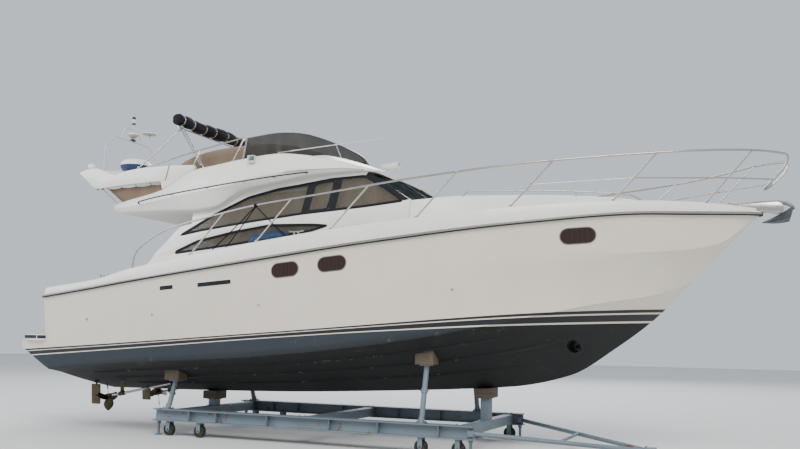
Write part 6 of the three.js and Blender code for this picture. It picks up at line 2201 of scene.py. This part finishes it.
# Running gear
def blade(radius, width, pitch):
    """A propeller blade, widest past its middle and flatter towards its tip."""
    rows, columns = 14, 8

    def place(u, v, face):
        r = radius * (0.16 + 0.84 * u)
        half = 0.5 * width * (0.42 + 1.35 * u - 1.77 * u ** 3.2 + 0.02) if u < 0.98 else 0.03 * width
        half = max(half, 0.035 * width)
        s = (2 * v - 1) * half + 0.12 * width * u * u
        angle = pitch * (1.25 - 0.45 * u)
        thick = 0.018 * radius * (1.25 - u) * (1 - (2 * v - 1) ** 2) + 0.0015
        wrap = s * math.cos(angle) / max(r, 0.2 * radius)
        axial = s * math.sin(angle) + face * thick - 0.02 * radius * u * u
        return Vector((axial, r * math.sin(wrap), r * math.cos(wrap)))

    rings = []
    for i in range(rows + 1):
        u = i / rows
        front = [place(u, k / columns, 1) for k in range(columns + 1)]
        back = [place(u, k / columns, -1) for k in range(columns, -1, -1)]
        rings.append([*front, *back])
    return loft(rings)


def propeller(radius, hub_r, hub_l, width, pitch, hand=1):
    parts = [turned([(0, -hub_l / 2 - hub_r * 0.9), (hub_r * 0.45, -hub_l / 2 - hub_r * 0.7),
                     (hub_r * 0.8, -hub_l / 2 - hub_r * 0.1), (hub_r * 0.82, -hub_l / 2),
                     (hub_r, -hub_l / 2 + 0.002), (hub_r * 1.04, 0), (hub_r * 0.94, hub_l / 2),
                     (0, hub_l / 2)], (0, 0, 0), axis=AHEAD)]
    for i in range(4):
        one = blade(radius, width, pitch * hand)
        one.transform(Matrix.Rotation(math.pi / 2 * i, 4, "X"))
        parts.append(one)
    return gather(*parts)


def on_shaft(x, y):
    return at(x, y, shaft_z(x))


def screw(side, sign):
    """A propeller on its shaft, with the anode round it."""
    y = sign * SHAFT.y
    blades = propeller(0.27, 0.048, 0.15, 0.20, 0.62, sign)
    turn = Matrix.Rotation(-math.atan(SLOPE), 4, "Y")
    blades.transform(Matrix.Translation(on_shaft(SHAFT.x0, y)) @ turn)
    shaft = rod(on_shaft(SHAFT.x0, y), on_shaft(2.0996, y), SHAFT.r, segments=24)
    anode = turned([(0.022, -0.04), (0.034, -0.04), (0.046, -0.015), (0.046, 0.015), (0.034, 0.04),
                    (0.022, 0.04)], on_shaft(1.55, y), axis=(1, 0, SLOPE))
    piece(f"screw_and_shaft_{side}", [(blades, BRONZE), (shaft, STEEL), (anode, ZINC)],
          body=f"screw_{side}", replaces=f"propeller_{side}", smooth=40)


def shaft_strut(side, sign):
    x, y = 0.96, sign * SHAFT.y
    barrel = turned([(0.0235, -0.065), (0.037, -0.065), (0.042, -0.05), (0.042, 0.05), (0.037, 0.065),
                     (0.0235, 0.065), (0.0235, -0.065)], on_shaft(x, y), axis=(1, 0, SLOPE))
    top = bottom_z(x, SHAFT.y) - GAP
    section = [(x + 0.047 * math.cos(a), y + 0.0095 * math.sin(a)) for a in angles(16)]
    rings = [[at(px, py, z) for px, py in section]
             for z in (shaft_z(x) + 0.036, (shaft_z(x) + top) / 2, top - 0.012)]
    strut = loft([*rings, [at(px, py, bottom_z(x, abs(py)) - 0.0006) for px, py in section]])
    piece(f"shaft_strut_{side}", ([barrel, strut], BRONZE),
          replaces=f"shaft_bracket_{side}", smooth=40)


def rudder(side, sign):
    """A rudder blade of foil section on its stock."""
    y = sign * SHAFT.y
    foil = []
    for z, x0, x1 in ((0.404, 0.242, 0.452), (0.44, 0.236, 0.455), (0.60, 0.220, 0.445),
                      (0.774, 0.203, 0.430), (0.7775, 0.206, 0.426)):
        ring = []
        for a in angles(24):
            t = (1 - math.cos(a)) / 2
            thick = min(0.0155 * (1.9 * math.sqrt(t) * (1 - t) ** 0.8 + 0.06), 0.0148)
            ring.append(at(x1 + (x0 - x1) * t, y + math.copysign(thick, math.sin(a) + 1e-9), z))
        foil.append(ring)
    stock = rod(at(RUDDER.x, y, 0.70), at(RUDDER.x, y, RUDDER.top), 0.020, segments=24)
    piece(f"rudder_blade_{side}", ([loft(foil), stock], BRONZE),
          body=f"helm_{side}", replaces=f"rudder_{side}", smooth=40)


def hull_bearings(side, sign):
    """What the rudder's stock and the shaft run through into the hull."""
    y = sign * SHAFT.y
    bearing = turned([(0.0, 0.0), (0.040, 0.0), (0.040, 0.05), (0, 0.05)], at(RUDDER.x, y, 0.806))
    boss = rod(on_shaft(2.10, y), on_shaft(2.70, y), 0.045, segments=24)
    obj = piece(f"hull_bearings_{side}", ([bearing, boss], HULL_PAINT), smooth=40)
    # The bearings sit on the bottom and take its painted shade (under = 1).
    tagged(obj, band=lambda x, y, z: 2, under=lambda x, y, z: 1, chine=lambda x, y, z: 0)


def running_gear():
    for side, sign in SIDES.items():
        screw(side, sign)
        shaft_strut(side, sign)
        rudder(side, sign)
        hull_bearings(side, sign)


def thruster():
    t = TUNNEL
    pod = turned([(0, -0.060), (0.022, -0.058), (0.034, -0.045), (0.036, 0.0), (0.036, 0.058), (0, 0.060)],
                 at(t.x, 0, t.z), axis=ACROSS)
    leg = rod(at(t.x, 0, t.z), at(t.x, 0, t.z + t.r + 0.004), 0.012)
    piece("thruster_gearbox", ([pod, leg], BRONZE), smooth=40)
    blades = propeller(0.084, 0.030, 0.040, 0.058, 0.6)
    turn = Matrix.Rotation(math.pi / 2, 4, "Z")
    blades.transform(Matrix.Translation(at(t.x, t.pod + 0.0224, t.z)) @ turn)
    piece("thruster_screw", (blades, BLACK_PLASTIC),
          body="thruster", replaces="bow_thruster_propeller", smooth=40)


def bottom_z(x, y):
    """The height of the hull's bottom at a half breadth inside the chine."""
    half = hull_section(x)[:9]
    for (y0, z0), (y1, z1) in zip(half, half[1:]):
        if y <= y1:
            return z0 + (z1 - z0) * (y - y0) / (y1 - y0)
    return half[-1][1]


# Cradle
CRADLE = Sizes(x0=2.30, x1=8.15, y=1.35, z0=0.25, z1=0.45, half=0.10, flange=0.016, web=0.012)
CROSS = (2.55, 5.20, 7.90)
POSTS = table("x footY headY", [(2.55, 1.35, 1.18), (7.30, 1.35, 1.15)])
WHEELS = (2.60, 3.24, 7.30, 7.90)
WHEEL = Sizes(r=0.105, half=0.040, sides=24, cheek=0.050)
AXLE_Z = WHEEL.r * math.cos(math.pi / WHEEL.sides)
APEX = Sizes(x=10.45, y=0.040, z=0.096)
DRAW = Sizes(x=8.10, z=0.34, brace=0.49)
COUPLING_TOP = 0.150
STOOLS = table("x z", [(2.55, 0.56), (7.90, 0.79)])


def straight(column, x):
    """A hull line at x, straight between the sections."""
    for a, b in zip(HULL, HULL[1:]):
        if a.x <= x <= b.x:
            t = (x - a.x) / (b.x - a.x)
            return getattr(a, column) + (getattr(b, column) - getattr(a, column)) * t


def pad_z(post):
    keel = straight("keel", post.x)
    rise = (straight("chine", post.x) - keel) * post.headY / straight("chineY", post.x)
    return keel + rise - 0.08


def beam(y):
    c = CRADLE
    w = c.web / 2
    half = [(c.half, c.z0), (c.half, c.z0 + c.flange), (w + 0.012, c.z0 + c.flange),
            (w + 0.003, c.z0 + c.flange + 0.003), (w, c.z0 + c.flange + 0.012),
            (w, c.z1 - c.flange - 0.012), (w + 0.003, c.z1 - c.flange - 0.003),
            (w + 0.012, c.z1 - c.flange), (c.half, c.z1 - c.flange), (c.half, c.z1)]
    ring = [*half, *[(-a, z) for a, z in reversed(half)]]
    return slab([at(c.x0, y + a, z) for a, z in ring], (c.x1 - c.x0, 0, 0))


def bolt(place, axis=(0, 0, 1), size=0.011):
    """A hexagon head on a washer."""
    bm = bmesh.new()
    spot = Matrix.Translation(Vector(place)) @ pointing(axis)
    bmesh.ops.create_cone(bm, cap_ends=True, segments=6, radius1=size, radius2=size, depth=0.012,
                          matrix=spot @ Matrix.Translation((0, 0, 0.0075)))
    bmesh.ops.create_cone(bm, cap_ends=True, segments=16, radius1=size * 1.5, radius2=size * 1.5, depth=0.003,
                          matrix=spot)
    return bm


def stiff_beam(y):
    """A beam of the cradle with the ribs between its flanges."""
    c = CRADLE
    parts = [beam(y)]
    for x in (3.05, 3.60, 4.60, 5.75, 6.60, 7.60):
        for way in BOTH:
            rib = [(way * 0.006, c.z0 + 0.016), (way * 0.094, c.z0 + 0.016),
                   (way * 0.094, c.z1 - 0.016), (way * 0.006, c.z1 - 0.016)]
            parts.append(slab([at(x, y + a, z) for a, z in rib], (0.010, 0, 0)))
    return parts, []


def cradle_post(post, sign):
    """A leaning post with its foot, head, fins, bolts and the pin that sets its height."""
    floor, x, y, head = CRADLE.z1, post.x, sign * CRADLE.y, sign * post.headY
    top = pad_z(post) - 0.07
    low, high = at(x, sign * post.footY, floor - 0.005), at(x, head, top - 0.018)
    steel = [rod(low, high, 0.042, segments=28),
             rod(low + (high - low) * 0.52, low + (high - low) * 0.60, 0.052, segments=28),
             plate(x, y, 0.07, 0.07, floor - 0.005, floor + 0.014, 0.003),
             plate(x, head, 0.09, 0.08, top - 0.02, top, 0.003)]
    bright = []
    for way in BOTH:
        fin = [(0.036, 0.014), (0.066, 0.014), (0.036, 0.10)]
        steel.append(slab([at(x + way * dx, y - 0.004, floor + dz) for dx, dz in fin], (0, 0.008, 0)))
        bright += [bolt(at(x + way * 0.055, y + other * 0.055, floor + 0.0155)) for other in BOTH]
    pin = low + (high - low) * 0.56
    bright.append(rod(pin - Vector((0.075, 0, 0)), pin + Vector((0.075, 0, 0)), 0.008))
    return steel, bright


def wheel_fork(x, y):
    """The two cheeks that hold a wheel, and the nuts of its axle."""
    steel, bright = [], []
    for outside in BOTH:
        middle = y + outside * (WHEEL.cheek + 0.006)
        corners = [(x - 0.038, 0.25), (x + 0.038, 0.25), (x + 0.038, 0.10), (x + 0.022, 0.072),
                   (x - 0.022, 0.072), (x - 0.038, 0.10)]
        steel.append(side_profile(rounded_outline(corners, 0.012, 2), middle - 0.006, middle + 0.006))
        bright.append(bolt(at(x, middle + outside * 0.0065, AXLE_Z), (0, outside, 0), 0.013))
    return steel, bright


def jack_leg(x, y):
    """A screwed leg with its foot on the ground."""
    under = CRADLE.z0
    steel = [rod(at(x, y, 0.010), at(x, y, under + 0.005), 0.022, segments=20),
             knob([(0.070, 0), (0.070, 0.008), (0.045, 0.018), (0.022, 0.018)], at(x, y, 0)),
             knob([(0.034, 0), (0.034, 0.05)], at(x, y, under - 0.05))]
    bright = [turned([(0.021, 0), (0.0245, 0.004), (0.021, 0.008)], at(x, y, 0.05 + 0.018 * k), steps=20)
              for k in range(9)]
    return steel, bright


def draw_arm(sign):
    low, high = at(APEX.x, sign * APEX.y, APEX.z), at(DRAW.x, sign * CRADLE.y, DRAW.z)
    return [rod(high, low, 0.035, segments=24),
            block(high - Vector((0.05, 0.05, 0.05)), high + Vector((0.04, 0.05, 0.05)), 0.006)], []


def coupling():
    """The brace between the two arms, and the box in which they meet."""
    share = DRAW.brace
    x, z = DRAW.x + (APEX.x - DRAW.x) * share, DRAW.z + (APEX.z - DRAW.z) * share
    y = CRADLE.y + (APEX.y - CRADLE.y) * share
    steel = [rod(at(x, -y, z), at(x, y, z), 0.025, segments=20),
             box((APEX.x - 0.06, -0.09, 0.0), (APEX.x + 0.12, 0.09, COUPLING_TOP), 0.008, 3)]
    return steel, [bolt(at(APEX.x - 0.03, y, COUPLING_TOP), size=0.012) for y in (-0.06, 0.06)]


def crossing(x):
    """A beam across the cradle, bolted to the two along it."""
    c = CRADLE
    bolts = [bolt(at(x + way * 0.05, sign * (c.y - 0.055), c.z1), size=0.010)
             for sign in BOTH for way in BOTH]
    return [plate(x, 0, 0.08, c.y - 0.006, c.z0 + 0.02, c.z1 - 0.02, 0.010, 3)], bolts


def keel_stool(x, z):
    """What carries a keel timber: a box with a plate under it and one on it."""
    floor = CRADLE.z1
    return [plate(x, 0, 0.075, 0.085, floor - 0.022, z - 0.012, 0.008, 3),
            plate(x, 0, 0.10, 0.11, z - 0.014, z, 0.003),
            plate(x, 0, 0.10, 0.11, floor - 0.025, floor - 0.012, 0.003)], []


def cradle():
    """Each of its parts comes as painted steel and bare bolts."""
    parts = []
    for sign in BOTH:
        y = sign * CRADLE.y
        parts += [stiff_beam(y), *[cradle_post(post, sign) for post in POSTS],
                  *[wheel_fork(x, y) for x in WHEELS],
                  *[jack_leg(x, y) for x in (CRADLE.x0 + 0.07, CRADLE.x1 - 0.06)], draw_arm(sign)]
    parts += [crossing(x) for x in CROSS] + [keel_stool(stool.x, stool.z) for stool in STOOLS] + [coupling()]
    steel, bright = (gather(*[bm for part in parts for bm in part[kind]]) for kind in (0, 1))
    piece("cradle_steelwork", [(steel, CRADLE_PAINT), (bright, RUSTY)],
          replaces="cradle_frame", smooth=35)


def timbers():
    for end, stool in zip(("aft", "fore"), STOOLS):
        x, z = stool.x, stool.z
        blocks = []
        top = {px: keel_contact(px) for px in (x - 0.15, x + 0.15)}
        low = z + GAP
        layer = (min(top.values()) - low) / 2
        if layer > 0.03:
            blocks.append(plate(x, 0, 0.148, 0.168, low, low + layer, 0.006))
            low += layer + 0.0005
        outline = [at(x - 0.15, 0, low), at(x + 0.15, 0, low), at(x + 0.15, 0, top[x + 0.15]),
                   at(x - 0.15, 0, top[x - 0.15])]
        centre = slab([p - Vector((0, 0.165, 0)) for p in outline], (0, 0.33, 0))
        blocks.append(soften(centre, 0.005))
        piece(f"keel_timber_{end}", (blocks, TIMBER_ACROSS), replaces=f"keel_block_{end}")
    for end, post in zip(("aft", "fore"), POSTS):
        for side, sign in SIDES.items():
            x, y = post.x, post.headY
            low = pad_z(post) - 0.07 + GAP
            rings = []
            for px in (x - 0.15, x, x + 0.15):
                inner, outer = bottom_z(px, y - 0.13) - 0.002, bottom_z(px, y + 0.13) - 0.002
                rings.append([at(px, y - 0.13, low), at(px, y + 0.13, low), at(px, y + 0.13, outer),
                              at(px, y - 0.13, inner)])
            pad = soften(loft(rings), 0.006)
            piece(f"bilge_timber_{end}_{side}", (on_side(pad, sign), TIMBER),
                  replaces=f"bilge_pad_{end}_{side}")


def keel_contact(x):
    return LINE.keel(x) - 0.001


def wheels():
    r, half = WHEEL.r, WHEEL.half
    flat = r * math.cos(math.pi / WHEEL.sides)
    for side, sign in SIDES.items():
        for i, x in enumerate(WHEELS):
            middle = at(x, sign * CRADLE.y, AXLE_Z)
            tread = [(0.066, -half + 0.004), (0.072, -half), (flat - 0.010, -half),
                     (flat - 0.002, -half + 0.008), (flat, -half + 0.014), (flat, half - 0.014),
                     (flat - 0.002, half - 0.008), (flat - 0.010, half), (0.072, half), (0.066, half - 0.004),
                     (0.066, -half + 0.004)]
            tyre = turned(tread, middle, axis=ACROSS, steps=48)
            disc = turned([(0.0165, -0.036), (0.030, -0.036), (0.032, -0.014), (0.058, -0.012),
                           (0.0665, -0.034), (0.0665, 0.034), (0.058, 0.012), (0.032, 0.014), (0.030, 0.036),
                           (0.0165, 0.036), (0.0165, -0.036)], middle, axis=ACROSS, steps=40)
            reach = Vector((0, WHEEL.cheek - 0.0006, 0))
            axle = rod(middle - reach, middle + reach, 0.0155, segments=20)
            nuts = [bolt(middle + Vector((0.045 * math.cos(a), way * 0.0135, 0.045 * math.sin(a))),
                         (0, way, 0), 0.0065) for a in angles(5) for way in BOTH]
            piece(f"wheel_{side}_{i + 1}_assembly", [(tyre, TYRE), ([disc, axle, *nuts], RUSTY)],
                  body=f"wheel_{side}_{i + 1}", replaces=f"cradle_wheel_{side}_{i + 1}", smooth=40)


def floor():
    bm = bmesh.new()
    bmesh.ops.create_grid(bm, x_segments=4, y_segments=4, size=60)
    obj = in_scene("floor", mesh_of(bm, "floor"))
    f = Finish("floor_pale", (214, 214, 211), 0.85)
    tone = f.noise(0.25, 3)
    f.set("Base Color", f.blend(tone * 0.3, (216, 216, 213), (204, 204, 201)))
    f.set("Roughness", tone * 0.1 + 0.8)
    obj.data.materials.append(f.material)


def build():
    hull()
    spray_rails()
    deck()
    rub_rail()
    swim_platform()
    transom_gate()
    flybridge()
    deckhouse()
    saloon_doors()
    side_windows()
    windshield()
    fly_windscreen()
    radar_arch()
    weather_cloths()
    radar_dome()
    mast()
    fly_rails()
    bimini_hoops()
    bimini_stays()
    canvas_roll()
    fly_cover()
    aerials()
    searchlight()
    bow_rail()
    bow_roller()
    anchor()
    windlass()
    deck_fittings()
    fore_hatch()
    topside_fittings()
    fender()
    cockpit_bench()
    stairs()
    engine_lid()
    engines()
    saloon()
    running_gear()
    thruster()
    cradle()
    timbers()
    wheels()
    floor()


camera()
lashings()
studio()
build()
